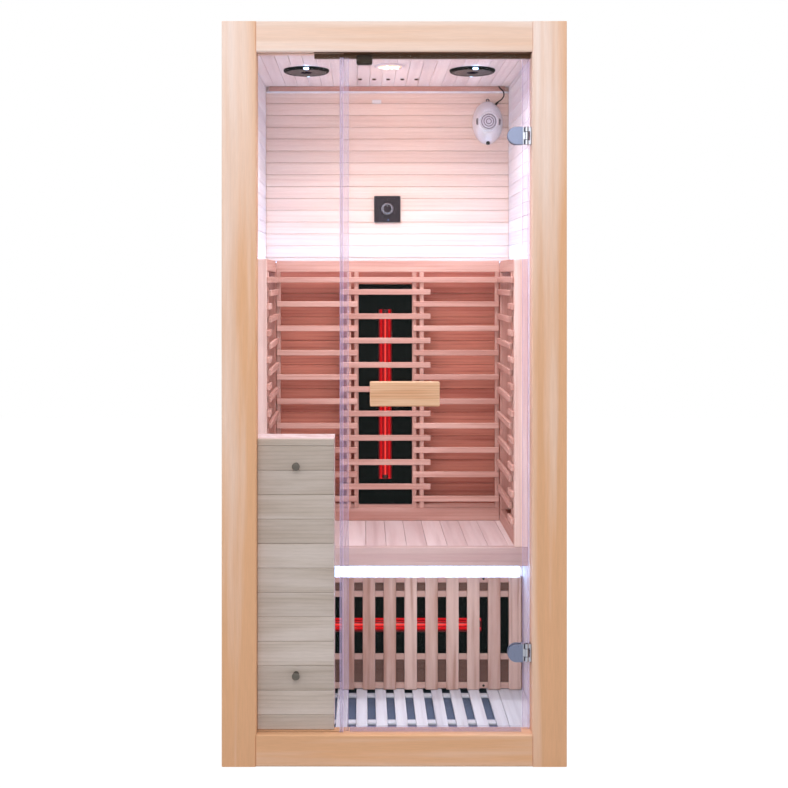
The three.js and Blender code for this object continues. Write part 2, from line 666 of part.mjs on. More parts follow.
// Head stop under the top rail, with the magnetic catch below it
const stopY = [glassBackY + STOP_BEHIND_GLASS, glassBackY + STOP_BEHIND_GLASS + STOP_DEPTH];
const stopLowZ = openingTopZ - STOP_HEIGHT;
addPiece('head_stop', alongX(
  rectangle(stopY, [stopLowZ, openingTopZ - SEAT_GAP]), paneEdgeX - STOP_PAST_PANE, openingX - SEAT_GAP,
), STOP_TIMBER);
const catchLeftX = doorEdgeX + CATCH_FROM_EDGE - CATCH_WIDTH / 2;
const catchX = [catchLeftX, catchLeftX + CATCH_WIDTH];
const catchTopZ = stopLowZ - SEAT_GAP;
const strikeY = [glassBackY + SEAT_GAP, glassBackY + SEAT_GAP + STRIKE_THICKNESS];
addPiece('magnetic_catch', alongY(
  roundedRectangle(catchX, [catchTopZ - CATCH_HEIGHT, catchTopZ], CATCH_ROUND),
  strikeY[1] + SEAT_GAP, strikeY[1] + CATCH_DEPTH,
), DARK_STEEL);

// Boarded box behind the fixed pane: a grooved panel on a carcass that steps back behind the post
const boxFrontY = glassBackY + BOX_BEHIND_GLASS;
const boxPanelBackY = boxFrontY + BOX_WALL;
const boxBackY = boxFrontY + BOX_DEPTH;
const boxLeftX = -openingX + SEAT_GAP;
const boxRightX = BOX_WIDTH - openingX;
const boxWallX = -innerX + SEAT_GAP;
const boxStepY = frameBackY + SEAT_GAP;
const boxLowZ = SILL_HEIGHT + SEAT_GAP;
const boxHeight = BOX_TOP_Z - boxLowZ;
const boxPanel = alongX(polygon([
  [boxFrontY, BOX_TOP_Z],
  ...grooveRun([boxFrontY, BOX_TOP_Z], [boxFrontY, boxLowZ],
    stations(BOX_TOP_BOARD, boxHeight - GROOVE_WIDTH, BOX_BOARD_PITCH)),
  [boxFrontY, boxLowZ], [boxPanelBackY, boxLowZ], [boxPanelBackY, BOX_TOP_Z],
]), boxLeftX, boxRightX);
addPiece('front_box_panel', cutFrom(boxPanel, Object.values(boxBoltZ).map((z) => boltHole(
  boxBoltX, z, BOX_BOLT_RADIUS + SEAT_GAP, boxFrontY - BOX_WALL, boxPanelBackY + BOX_WALL,
))), BOX_TIMBER);

const carcassFrontY = boxPanelBackY + SEAT_GAP;
const carcassOutline = polygon([
  [boxLeftX, carcassFrontY], [boxRightX, carcassFrontY], [boxRightX, boxBackY],
  [boxWallX, boxBackY], [boxWallX, boxStepY], [boxLeftX, boxStepY],
]);
const carcassHollowOutline = polygon([
  [boxLeftX + BOX_WALL, carcassFrontY - BOX_WALL], [boxRightX - BOX_WALL, carcassFrontY - BOX_WALL],
  [boxRightX - BOX_WALL, boxBackY - BOX_WALL], [boxWallX + BOX_WALL, boxBackY - BOX_WALL],
  [boxWallX + BOX_WALL, boxStepY + BOX_WALL], [boxLeftX + BOX_WALL, boxStepY + BOX_WALL],
]);
addPiece('front_box_carcass', cutFrom(
  alongZ(carcassOutline, boxLowZ, BOX_TOP_Z),
  [alongZ(carcassHollowOutline, boxLowZ + BOX_WALL, BOX_TOP_Z - BOX_WALL)],
), BOX_TIMBER);

// Box bolts: cap on the glass, washer between glass and panel, shank through the panel
const boltCapSeat = GLASS_THICKNESS + SEAT_GAP;
for (const [place, z] of Object.entries(boxBoltZ)) {
  const bolt = turned([
    [0, -BOX_BEHIND_GLASS - BOX_WALL],
    [BOX_BOLT_RADIUS, -BOX_BEHIND_GLASS - BOX_WALL],
    [BOX_BOLT_RADIUS, -BOX_BEHIND_GLASS + SEAT_GAP],
    [BOX_BOLT_WASHER_RADIUS, -BOX_BEHIND_GLASS + SEAT_GAP],
    [BOX_BOLT_WASHER_RADIUS, -SEAT_GAP],
    [BOX_BOLT_RADIUS, -SEAT_GAP],
    [BOX_BOLT_RADIUS, boltCapSeat],
    [BOX_BOLT_CAP_RADIUS, boltCapSeat],
    [BOX_BOLT_CAP_RADIUS, boltCapSeat + BOX_BOLT_CAP_THICKNESS / 2],
    [BOX_BOLT_WASHER_RADIUS, boltCapSeat + BOX_BOLT_CAP_THICKNESS],
    [0, boltCapSeat + BOX_BOLT_CAP_THICKNESS],
  ], SMALL_ROUND_SIDES).rotateX(Math.PI);
  const piece = addPiece(`front_box_bolt_${place}`, bolt, SATIN_METAL);
  piece.position.set(boxBoltX, glassBackY, z);
}

// Bench: grooved seat boards, an apron, and a timber frame on the walls
const apronBackY = seatFrontY + APRON_THICKNESS;
const seatLowZ = SEAT_Z - SEAT_THICKNESS;
const seatX = [-innerX + SEAT_GAP, innerX - SEAT_GAP];
const seatWidth = seatX[1] - seatX[0];
addPiece('bench_seat', alongY(polygon([
  [seatX[0], seatLowZ], [seatX[1], seatLowZ], [seatX[1], SEAT_Z],
  ...grooveRun([seatX[1], SEAT_Z], [seatX[0], SEAT_Z],
    stations(BOARD_PITCH, seatWidth - GROOVE_WIDTH, BOARD_PITCH)),
  [seatX[0], SEAT_Z],
]), apronBackY + SEAT_GAP, innerBackY - SEAT_GAP), BENCH_TIMBER);
addPiece('bench_apron', alongX(
  rectangle([seatFrontY, apronBackY], [SEAT_Z - APRON_HEIGHT, SEAT_Z], TIMBER_EASE), ...seatX,
), BENCH_TIMBER);

const bearerTopZ = seatLowZ - SEAT_GAP;
const bearerZ = [bearerTopZ - BENCH_BEARER, bearerTopZ];
const bearerY = [apronBackY + SEAT_GAP, innerBackY - SEAT_GAP];
const legY = [kickBattenBackY + SEAT_GAP, kickBattenBackY + SEAT_GAP + BENCH_LEG];
const frontBearerY = [legY[0] - BENCH_FRONT_BEARER / 2, legY[0] + BENCH_FRONT_BEARER / 2];
const kickTopZ = SEAT_Z - KICK_BELOW_SEAT;
const frontBearerLowZ = kickTopZ + SEAT_GAP;
addPiece('bench_frame', joined([
  alongX(rectangle(frontBearerY, [frontBearerLowZ, bearerTopZ]), ...seatX),
  alongX(rectangle([bearerY[1] - BENCH_BEARER, bearerY[1]], bearerZ), ...seatX),
  alongY(rectangle([seatX[0], seatX[0] + BENCH_BEARER], bearerZ), ...bearerY),
  alongY(rectangle([seatX[1] - BENCH_BEARER, seatX[1]], bearerZ), ...bearerY),
  alongZ(rectangle([seatX[0], seatX[0] + BENCH_LEG], legY), BASE_THICKNESS + SEAT_GAP, bearerTopZ),
  alongZ(rectangle([seatX[1] - BENCH_LEG, seatX[1]], legY), BASE_THICKNESS + SEAT_GAP, bearerTopZ),
]), BENCH_TIMBER);

const benchLedHalf = innerX - BENCH_LED_END_GAP;
addPiece('bench_led_strip', alongX(
  rectangle(
    [frontBearerY[0] - SEAT_GAP - BENCH_LED_DEPTH, frontBearerY[0] - SEAT_GAP],
    [frontBearerLowZ, frontBearerLowZ + BENCH_LED_HEIGHT], TIMBER_EASE,
  ),
  -benchLedHalf, benchLedHalf,
), LED_WHITE);

// Kick grille: upright slats on four level battens, with the calf heater between the middle two
const kickLowZ = floorSlatTopZ + KICK_FLOOR_GAP;
const kickHalf = innerX - KICK_END_GAP;
const kickPitch = (2 * kickHalf - KICK_SLAT_WIDTH) / (KICK_SLAT_COUNT - 1);
const heaterWindow = HEATER_WIDTH / 2 + SEAT_GAP;
const kickBattenLows = [
  kickLowZ,
  CALF_HEATER_Z - heaterWindow - KICK_BATTEN_HEIGHT,
  CALF_HEATER_Z + heaterWindow,
  kickTopZ - KICK_BATTEN_HEIGHT,
];
const kickBattenY = [slatBackY(kickFrontY), kickBattenBackY];
addPiece('kick_grille', joined([
  ...kickBattenLows.map((z) => alongX(
    rectangle(kickBattenY, [z, z + KICK_BATTEN_HEIGHT]), -kickHalf, kickHalf,
  )),
  ...Array.from({ length: KICK_SLAT_COUNT }, (_, i) => {
    const left = -kickHalf + i * kickPitch;
    const outline = rectangle([left, left + KICK_SLAT_WIDTH], [kickFrontY, slatBackY(kickFrontY)]);
    return alongZ(outline, kickLowZ, kickTopZ);
  }),
]), BENCH_TIMBER);

// Heater, built lying along X with its face towards -Y at y = 0
const heaterFlangeFront = GRILLE_BATTEN_DEPTH - HEATER_BEHIND_SLATS + SEAT_GAP;
const heaterFlangeBack = heaterFlangeFront + HEATER_SHEET;
const heaterHalf = HEATER_WIDTH / 2;
const flangeHalf = heaterHalf + HEATER_FLANGE_WIDTH;
const heaterInner = heaterHalf - HEATER_SHEET;

// Sheet housing, open at the back behind its trough
function heaterHousing(length) {
  const half = length / 2;
  const troughHalf = half - HEATER_TUBE_END_GAP + SEAT_GAP;
  const troughBack = troughHalf + HEATER_SHEET;
  const section = polygon([
    [0, -heaterHalf], [heaterFlangeFront, -heaterHalf], [heaterFlangeFront, -flangeHalf],
    [heaterFlangeBack, -flangeHalf], [heaterFlangeBack, -heaterHalf], [HEATER_DEPTH, -heaterHalf],
    [HEATER_DEPTH, heaterHalf], [heaterFlangeBack, heaterHalf], [heaterFlangeBack, flangeHalf],
    [heaterFlangeFront, flangeHalf], [heaterFlangeFront, heaterHalf], [0, heaterHalf],
  ]);
  const trough = alongX(circle(0, 0, HEATER_TROUGH_RADIUS), -troughHalf, troughHalf);
  const inside = alongY(
    rectangle([HEATER_SHEET - half, half - HEATER_SHEET], [-heaterInner, heaterInner]),
    HEATER_SHEET, HEATER_DEPTH + HEATER_SHEET,
  );
  const troughShell = alongX(circle(0, 0, HEATER_TROUGH_RADIUS + HEATER_SHEET), -troughBack, troughBack);
  return cutFrom(alongX(section, -half, half), [trough, cutFrom(inside, [troughShell])]);
}

function heaterTube(length) {
  const end = length / 2 - HEATER_TUBE_END_GAP;
  const half = end - HEATER_COLLAR_LENGTH;
  return turned([
    [0, -end], [HEATER_COLLAR_RADIUS, -end], [HEATER_COLLAR_RADIUS, -half], [HEATER_TUBE_RADIUS, -half],
    [HEATER_TUBE_RADIUS, half], [HEATER_COLLAR_RADIUS, half], [HEATER_COLLAR_RADIUS, end], [0, end],
  ], SMALL_ROUND_SIDES).rotateZ(quarterTurn).translate(0, HEATER_TUBE_SETBACK, 0);
}

function addHeater(name, length, x, slatFrontY, z, upright) {
  const heater = new THREE.Group();
  heater.position.set(x, slatBackY(slatFrontY) + HEATER_BEHIND_SLATS, z);
  heater.rotation.y = upright ? quarterTurn : 0;
  addPiece(`${name}_housing`, heaterHousing(length), BLACK_METAL, heater);
  addPiece(`${name}_tube`, heaterTube(length), HEATER_RED, heater);
  cabin.add(heater);
}

const backrestFrontY = innerBackY - BACKREST_FROM_WALL;
const backHeaterZ = SEAT_Z + BACK_HEATER_ABOVE_SEAT + BACK_HEATER_LENGTH / 2;
const calfHeaterLength = seatWidth - 2 * (BENCH_LEG + CALF_HEATER_END_GAP);
addHeater('calf_heater', calfHeaterLength, 0, kickFrontY, CALF_HEATER_Z, false);
addHeater('back_heater', BACK_HEATER_LENGTH, BACKREST_BAY_X, backrestFrontY, backHeaterZ, true);

// Rows of the seat grilles: the first is whole, then the bays take turns
const grilleTopZ = SEAT_Z + GRILLE_HEIGHT;
const lipTopZ = SEAT_Z + GRILLE_BOTTOM_RAIL + GRILLE_LIP_HEIGHT;
const firstRowZ = grilleTopZ - GRILLE_FIRST_ROW_DROP;
const lastRowZ = lipTopZ + GRILLE_SLAT_HEIGHT / 2;
const grilleRows = stations(0, firstRowZ - lastRowZ, GRILLE_ROW_PITCH).map((drop, row) => ({
  z: [firstRowZ - drop - GRILLE_SLAT_HEIGHT / 2, firstRowZ - drop + GRILLE_SLAT_HEIGHT / 2],
  whole: row === 0,
  odd: row % 2 === 1,
}));
const grilleLowZ = SEAT_Z + SEAT_GAP;
const bottomRailZ = [grilleLowZ, SEAT_Z + GRILLE_BOTTOM_RAIL];
const topRailZ = [grilleTopZ - GRILLE_TOP_RAIL, grilleTopZ];
const grilleBattenZ = [grilleLowZ, grilleTopZ - GRILLE_BATTEN_TOP_DROP];

// Backrest grille: a middle bay in front of the heater and a bay on each side
const backrestBattenY = [slatBackY(backrestFrontY), slatBackY(backrestFrontY) + GRILLE_BATTEN_DEPTH];
const backrestRailY = [backrestBattenY[0], backrestBattenY[0] + GRILLE_RAIL_THICKNESS];
const sideSlatX = innerX - SIDE_GRILLE_FROM_WALL;
const sideRailX = sideSlatX + GRILLE_SLAT_THICKNESS;
const backrestEndX = sideRailX - SEAT_GAP;
const bayBattenOffsets = [BACKREST_BAY_HALF, BACKREST_BAY_HALF + GRILLE_BATTEN_WIDTH + BACKREST_BATTEN_GAP];
const backrestBattenX = [
  ...bayBattenOffsets.flatMap((offset) => [
    BACKREST_BAY_X - offset - GRILLE_BATTEN_WIDTH, BACKREST_BAY_X + offset,
  ]),
  -backrestEndX,
  backrestEndX - GRILLE_BATTEN_WIDTH,
];
const middleSlatHalf = bayBattenOffsets[1] + GRILLE_BATTEN_WIDTH + BACKREST_SLAT_OVERHANG;
const sideSlatStart = BACKREST_BAY_HALF + BACKREST_SLAT_INSET;
const slatEndX = backrestEndX - BACKREST_END_GAP;

function backrestSlatSpans(row) {
  if (row.whole) return [[-slatEndX, slatEndX]];
  if (row.odd) return [[BACKREST_BAY_X - middleSlatHalf, BACKREST_BAY_X + middleSlatHalf]];
  return [[-slatEndX, BACKREST_BAY_X - sideSlatStart], [BACKREST_BAY_X + sideSlatStart, slatEndX]];
}

const lipY = [backrestBattenY[0] + GRILLE_LIP_SETBACK, backrestBattenY[1]];
addPiece('backrest_grille', joined([
  alongX(rectangle(backrestRailY, topRailZ), -backrestEndX, backrestEndX),
  alongX(rectangle(backrestBattenY, bottomRailZ), -backrestEndX, backrestEndX),
  alongX(rectangle(lipY, [grilleLowZ, lipTopZ]), -backrestEndX, backrestEndX),
  ...backrestBattenX.map((x) => alongZ(
    rectangle([x, x + GRILLE_BATTEN_WIDTH], backrestBattenY), ...grilleBattenZ,
  )),
  ...grilleRows.flatMap((row) => backrestSlatSpans(row).map((span) => alongX(
    rectangle([backrestFrontY, slatBackY(backrestFrontY)], row.z), ...span,
  ))),
]), SLAT_TIMBER);

// Side grilles: a front bay behind the stile and a rear bay, meeting over a pair of battens
const sideStartY = seatFrontY;
const sideEndY = backrestFrontY - SEAT_GAP;
const sideRailEndY = backrestBattenY[0] - SEAT_GAP;
const stileY = [sideStartY, sideStartY + SIDE_STILE_DEPTH];
const sideWallX = innerX - SEAT_GAP;
const sideSlatFrontY = sideStartY + SIDE_SLAT_SETBACK;
const bayStartY = sideStartY + SIDE_BAY_START;
const bayEndY = bayStartY + SIDE_BAY_OVERLAP;
const sideBattenY = [
  bayStartY + SIDE_BATTEN_INSET,
  bayEndY - SIDE_BATTEN_INSET - GRILLE_BATTEN_WIDTH,
  sideEndY - SIDE_BATTEN_INSET - GRILLE_BATTEN_WIDTH,
];

function sideSlatSpan(row) {
  if (row.whole) return [sideSlatFrontY, sideEndY];
  return row.odd ? [bayStartY, sideEndY] : [sideSlatFrontY, bayEndY];
}

function sideGrille(side) {
  const span = (near, far) => [side * near, side * far].sort((a, b) => a - b);
  const slatX = span(sideSlatX, sideRailX);
  const railX = span(sideRailX, sideRailX + GRILLE_RAIL_THICKNESS);
  const deepX = span(sideRailX, sideWallX);
  return joined([
    alongZ(rectangle(deepX, stileY, TIMBER_EASE), grilleLowZ, grilleTopZ),
    alongY(rectangle(railX, topRailZ), stileY[0] + SIDE_SLAT_SETBACK, sideRailEndY),
    alongY(rectangle(railX, bottomRailZ), stileY[0] + SIDE_SLAT_SETBACK, sideRailEndY),
    ...sideBattenY.map((y) => alongZ(
      rectangle(deepX, [y, y + GRILLE_BATTEN_WIDTH]), ...grilleBattenZ,
    )),
    ...grilleRows.map((row) => alongY(rectangle(slatX, row.z), ...sideSlatSpan(row))),
  ]);
}

addPiece('side_grille_left', sideGrille(-1), SLAT_TIMBER);
addPiece('side_grille_right', sideGrille(1), SLAT_TIMBER);

// LED strip round the inside of the three top rails, shining up the walls
const ledSideX = sideRailX + GRILLE_RAIL_THICKNESS + SEAT_GAP;
const ledBackY = backrestRailY[1] + SEAT_GAP;
const ledStartY = stileY[1] + SEAT_GAP;
const ledTopZ = grilleTopZ - BACKREST_LED_DROP;
addPiece('backrest_led_strip', alongZ(polygon([
  [-ledSideX - BACKREST_LED_DEPTH, ledStartY],
  [-ledSideX, ledStartY],
  [-ledSideX, ledBackY],
  [ledSideX, ledBackY],
  [ledSideX, ledStartY],
  [ledSideX + BACKREST_LED_DEPTH, ledStartY],
  [ledSideX + BACKREST_LED_DEPTH, ledBackY + BACKREST_LED_DEPTH],
  [-ledSideX - BACKREST_LED_DEPTH, ledBackY + BACKREST_LED_DEPTH],
]), ledTopZ - BACKREST_LED_HEIGHT, ledTopZ), LED_WHITE);

// Round ceiling fittings: a flanged can let into the ceiling, with a domed lens in its mouth
function addCeilingFitting(name, x, y, sizes, rimLook, lensLook) {
  const fitting = new THREE.Group();
  fitting.position.set(x, y, ceilingZ);
  const can = sizes.lens + LIGHT_CAN_WALL;
  const lens = sizes.lens - SEAT_GAP;
  addPiece(`${name}_rim`, turnedUp([
    [0, LIGHT_CAN_HEIGHT - LIGHT_CAN_WALL], [sizes.lens, LIGHT_CAN_HEIGHT - LIGHT_CAN_WALL],
    [sizes.lens, -sizes.proud], [sizes.radius - LIGHT_CAN_WALL, -sizes.proud],
    [sizes.radius, -sizes.proud / 2], [sizes.radius, -SEAT_GAP], [can, -SEAT_GAP],
    [can, LIGHT_CAN_HEIGHT], [0, LIGHT_CAN_HEIGHT],
  ]), rimLook, fitting);
  const lensProfile = [...dome(lens, sizes.proud / 2, sizes.proud / 2).reverse(), [lens, 0], [0, 0]];
  addPiece(`${name}_lens`, turnedUp(lensProfile.map(([r, h]) => [r, -h])), lensLook, fitting);
  cabin.add(fitting);
}

const lightSizes = { radius: LIGHT_RADIUS, lens: LIGHT_LENS_RADIUS, proud: LIGHT_PROUD };
const lampSizes = { radius: LAMP_RADIUS, lens: LAMP_LENS_RADIUS, proud: LAMP_PROUD };
addCeilingFitting('ceiling_light_left', -lightX, lightY, lightSizes, BLACK_PLASTIC, LENS_BLUE);
addCeilingFitting('ceiling_light_right', lightX, lightY, lightSizes, BLACK_PLASTIC, LENS_BLUE);
addCeilingFitting('centre_lamp', 0, lampY, lampSizes, WHITE_PLASTIC, LAMP_WARM);

// Wall controller with its knob, and the temperature sensor
const wallFaceY = innerBackY - SEAT_GAP;
const centred = (size) => [-size / 2, size / 2];
const controllerFrontY = wallFaceY - CONTROLLER_THICKNESS;
addPiece('controller_plate', alongY(
  roundedRectangle(centred(CONTROLLER_SIZE), centred(CONTROLLER_SIZE), CONTROLLER_ROUND),
  -CONTROLLER_THICKNESS, 0,
), BLACK_PLASTIC).position.set(0, wallFaceY, CONTROLLER_Z);

const knobBlank = turned([
  [0, 0], [KNOB_SKIRT_RADIUS, 0], [KNOB_SKIRT_RADIUS, KNOB_SKIRT_HEIGHT], [KNOB_RADIUS, KNOB_SKIRT_HEIGHT],
  [KNOB_RADIUS - KNOB_NOTCH, KNOB_HEIGHT - KNOB_NOTCH], [KNOB_RADIUS - 2 * KNOB_NOTCH, KNOB_HEIGHT],
  [0, KNOB_HEIGHT],
]).rotateX(Math.PI);
const knobNotch = alongY(
  rectangle(centred(KNOB_NOTCH), [KNOB_RADIUS / 2, KNOB_RADIUS]),
  -KNOB_HEIGHT - KNOB_NOTCH_DEPTH, -KNOB_HEIGHT + KNOB_NOTCH_DEPTH,
);
addPiece('control_knob', cutFrom(knobBlank, [knobNotch]), SATIN_METAL)
  .position.set(0, controllerFrontY - SEAT_GAP, CONTROLLER_Z);

addPiece('temperature_sensor', alongY(
  roundedRectangle(centred(SENSOR_WIDTH), centred(SENSOR_HEIGHT), SENSOR_ROUND), -SENSOR_DEPTH, 0,
), WHITE_PLASTIC).position.set(SENSOR_X, wallFaceY, ceilingZ - SENSOR_FROM_CEILING);

// Ionizer: half an egg on the wall, with a ringed lens, side slots, an eyelet and a switch below
const ionizer = new THREE.Group();
ionizer.position.set(ionizerX, wallFaceY, ionizerZ);
cabin.add(ionizer);
const ringSeatY = -IONIZER_DEPTH + IONIZER_RING_SETBACK;
const lensRadius = IONIZER_RING_RADIUS - IONIZER_RING_WIDTH;
const switchLowZ = -IONIZER_HEIGHT / 2 - SWITCH_PROUD / 2;

function ionizerSlot(side) {
  const middle = side > 0 ? 0 : Math.PI;
  const [start, end] = [middle - IONIZER_SLOT_ANGLE, middle + IONIZER_SLOT_ANGLE];
  return alongY(polygon([
    ...arc(0, 0, IONIZER_SLOT_RADIUS + IONIZER_SLOT_WIDTH, start, end, CORNER_STEPS),
    ...arc(0, 0, IONIZER_SLOT_RADIUS, end, start, CORNER_STEPS),
  ]), -IONIZER_DEPTH, -IONIZER_SLOT_DEPTH);
}

const bootVector = (x, z) => new THREE.Vector3(x, SEAT_GAP - LEAD_WALL_OFFSET, z);
const bootStart = bootVector(...LEAD_BOOT_START);
const bootEnd = bootVector(...LEAD_BOOT_END);
const bootLength = bootStart.distanceTo(bootEnd);

function alongBoot(geometry) {
  const direction = bootEnd.clone().sub(bootStart).normalize();
  const turn = new THREE.Quaternion().setFromUnitVectors(new THREE.Vector3(0, 1, 0), direction);
  return geometry.applyQuaternion(turn).translate(...bootStart.toArray());
}

const eggBlank = closedMesh(new THREE.SphereGeometry(1, ROUND_SIDES, ROUND_SIDES / 2))
  .scale(IONIZER_WIDTH / 2, IONIZER_HEIGHT / 2, IONIZER_DEPTH)
  .rotateX(quarterTurn);
const behindWall = alongY(
  rectangle(centred(2 * IONIZER_WIDTH), centred(2 * IONIZER_HEIGHT)), 0, 2 * IONIZER_DEPTH,
);
const eyelet = closedMesh(
  new THREE.TorusGeometry(IONIZER_EYE_RADIUS, IONIZER_EYE_WIRE, 2 * CORNER_STEPS, SMALL_ROUND_SIDES),
)
  .rotateX(quarterTurn)
  .translate(0, -IONIZER_EYE_SETBACK, IONIZER_HEIGHT / 2 + IONIZER_EYE_RADIUS / 2);
addPiece('ionizer_shell', cutFrom(joined([eggBlank, eyelet]), [
  behindWall,
  alongY(circle(0, 0, IONIZER_RING_RADIUS), -2 * IONIZER_DEPTH, ringSeatY),
  alongY(bore(0, 0, lensRadius + SEAT_GAP), -2 * IONIZER_DEPTH, ringSeatY + IONIZER_LENS_EDGE),
  ionizerSlot(-1),
  ionizerSlot(1),
  alongZ(bore(0, -SWITCH_SETBACK, SWITCH_RADIUS + SEAT_GAP, SMALL_ROUND_SIDES),
    -IONIZER_HEIGHT, switchLowZ + SWITCH_LENGTH + SWITCH_TRAVEL + SEAT_GAP),
  alongBoot(turned([
    [0, -SEAT_GAP], [LEAD_BOOT_RADIUS + SEAT_GAP, -SEAT_GAP],
    [LEAD_BOOT_RADIUS + SEAT_GAP, bootLength], [0, bootLength],
  ], SMALL_ROUND_SIDES)),
]), SILVER_PLASTIC, ionizer);

addPiece('ionizer_lens', turned([
  [0, 0], [lensRadius, 0], ...dome(lensRadius, IONIZER_LENS_EDGE, IONIZER_LENS_RISE),
]).rotateX(Math.PI), LENS_LAVENDER, ionizer).position.y = ringSeatY + IONIZER_LENS_EDGE - SEAT_GAP;

addPiece('ionizer_switch', turnedUp([
  [0, 0], [SWITCH_RADIUS - SWITCH_TRAVEL, 0], [SWITCH_RADIUS, SWITCH_TRAVEL],
  [SWITCH_RADIUS, SWITCH_LENGTH], [0, SWITCH_LENGTH],
], SMALL_ROUND_SIDES), BLACK_PLASTIC, ionizer).position.set(0, -SWITCH_SETBACK, switchLowZ);

// Lead from its boot in the ionizer, past the cornice, into the ceiling
const leadPoint = (x, z, share) => new THREE.Vector3(
  x,
  SEAT_GAP - LEAD_WALL_OFFSET - share * (LEAD_CORNICE_OFFSET - LEAD_WALL_OFFSET),
  z,
);
const leadPoints = [
  bootEnd.clone().lerp(bootStart, LEAD_BOOT_OVERLAP / bootLength),
  bootEnd,
  ...LEAD_ROUTE.map(([x, z], i) => leadPoint(x, z, Math.min(1, (i + 1) / (LEAD_ROUTE.length - 2)))),
  leadPoint(LEAD_TOP_X, IONIZER_FROM_CEILING, 1),
  leadPoint(LEAD_TOP_X, IONIZER_FROM_CEILING + LEAD_TOP_ENTRY, 1),
];
const leadTube = new THREE.ExtrudeGeometry(circle(0, 0, LEAD_RADIUS, LEAD_SIDES), {
  steps: LEAD_STEPS, bevelEnabled: false, extrudePath: new THREE.CatmullRomCurve3(leadPoints),
});
const leadBoot = alongBoot(turned([
  [0, 0], [LEAD_BOOT_RADIUS, 0], [LEAD_BOOT_RADIUS, bootLength / 2],
  [LEAD_BOOT_TIP_RADIUS, bootLength], [0, bootLength],
], SMALL_ROUND_SIDES));
addPiece('ionizer_lead', joined([leadBoot, leadTube]), BLACK_PLASTIC, ionizer);

// Power box on the back wall under the bench, and the mains gland through the wall
addPiece('power_box', alongY(
  roundedRectangle(centred(POWER_BOX_WIDTH), centred(POWER_BOX_HEIGHT), POWER_BOX_ROUND),
  -POWER_BOX_DEPTH, 0,
), BLACK_METAL).position.set(powerBoxX, wallFaceY, POWER_BOX_Z);
const glandFlange = BACK_WALL_THICKNESS + SEAT_GAP;
addPiece('mains_gland', turned([
  [0, 0], [GLAND_RADIUS, 0], [GLAND_RADIUS, glandFlange], [GLAND_FLANGE_RADIUS, glandFlange],
  [GLAND_FLANGE_RADIUS, glandFlange + GLAND_FLANGE_THICKNESS],
  [GLAND_DOME_RADIUS, glandFlange + GLAND_FLANGE_THICKNESS],
  [GLAND_BORE_RADIUS + SEAL_WALL, glandFlange + GLAND_FLANGE_THICKNESS + GLAND_DOME_LENGTH],
  [GLAND_BORE_RADIUS, glandFlange + GLAND_FLANGE_THICKNESS + GLAND_DOME_LENGTH],
  [GLAND_BORE_RADIUS, glandFlange], [0, glandFlange],
], SMALL_ROUND_SIDES), BLACK_PLASTIC).position.set(powerBoxX, innerBackY, POWER_BOX_Z);

// Door: everything that turns on the hinge pins is placed from the pivot axis
const door = new THREE.Group();
door.position.set(pivotX, glassMidY, 0);
cabin.add(door);
const clampRightX = -PIVOT_TO_GLASS + SEAT_GAP + CLAMP_WEB;
const clampLeftX = clampRightX - CLAMP_LENGTH;
const clampArcX = clampLeftX + HINGE_HEIGHT / 2;
const glassHalf = GLASS_THICKNESS / 2;
const doorLowZ = SILL_HEIGHT + DOOR_BOTTOM_GAP;
const doorTopZ = openingTopZ - DOOR_TOP_GAP;
const hingeZ = { upper: doorTopZ - UPPER_HINGE_DROP, lower: doorLowZ + LOWER_HINGE_RISE };
const doorX = [doorEdgeX - pivotX, -PIVOT_TO_GLASS];
const handleX = doorX[0] + HANDLE_FROM_EDGE;
const handleBoltX = [handleX - HANDLE_BOLT_SPACING / 2, handleX + HANDLE_BOLT_SPACING / 2];
const handleBoltHoleRadius = HANDLE_BOLT_RADIUS + GLASS_HOLE_CLEARANCE;
const throughDoor = [-2 * GLASS_THICKNESS, 2 * GLASS_THICKNESS];
const doorBlank = alongY(rectangle(doorX, [doorLowZ, doorTopZ]), -glassHalf, glassHalf);
addPiece('door_glass', cutFrom(doorBlank, [
  ...Object.values(hingeZ).map((z) => boltHole(clampArcX, z, CLAMP_BOLT_HOLE_RADIUS, ...throughDoor)),
  ...handleBoltX.map((x) => boltHole(x, HANDLE_Z, handleBoltHoleRadius, ...throughDoor)),
]), CLEAR_GLASS, door);

const bottomSealLeft = paneEdgeX + SEAL_FIN + PANE_GAP - pivotX;
const sealGlassHalf = glassHalf + SEAT_GAP;
addPiece('door_bottom_seal', alongX(polygon([
  [-sealGlassHalf - SEAL_WALL, doorLowZ - BOTTOM_SEAL_DROP],
  [sealGlassHalf + SEAL_WALL, doorLowZ - BOTTOM_SEAL_DROP],
  [sealGlassHalf + SEAL_WALL, doorLowZ + BOTTOM_SEAL_GRIP],
  [sealGlassHalf, doorLowZ + BOTTOM_SEAL_GRIP],
  [sealGlassHalf, doorLowZ - SEAT_GAP],
  [-sealGlassHalf, doorLowZ - SEAT_GAP],
  [-sealGlassHalf, doorLowZ + BOTTOM_SEAL_GRIP],
  [-sealGlassHalf - SEAL_WALL, doorLowZ + BOTTOM_SEAL_GRIP],
]), bottomSealLeft, -PIVOT_TO_GLASS), CLEAR_SEAL, door);

// Hinge clamp: two D-shaped plates with the glass between them, bolted through it, and a knuckle on the pin
const clampY = centred(2 * (sealGlassHalf + CLAMP_PLATE));
const hingeHalf = HINGE_HEIGHT / 2;

const clampOutline = polygon([
  [clampRightX, -hingeHalf], [clampRightX, hingeHalf],
  ...arc(clampArcX, 0, hingeHalf, quarterTurn, 3 * quarterTurn, ARC_STEPS),
]);

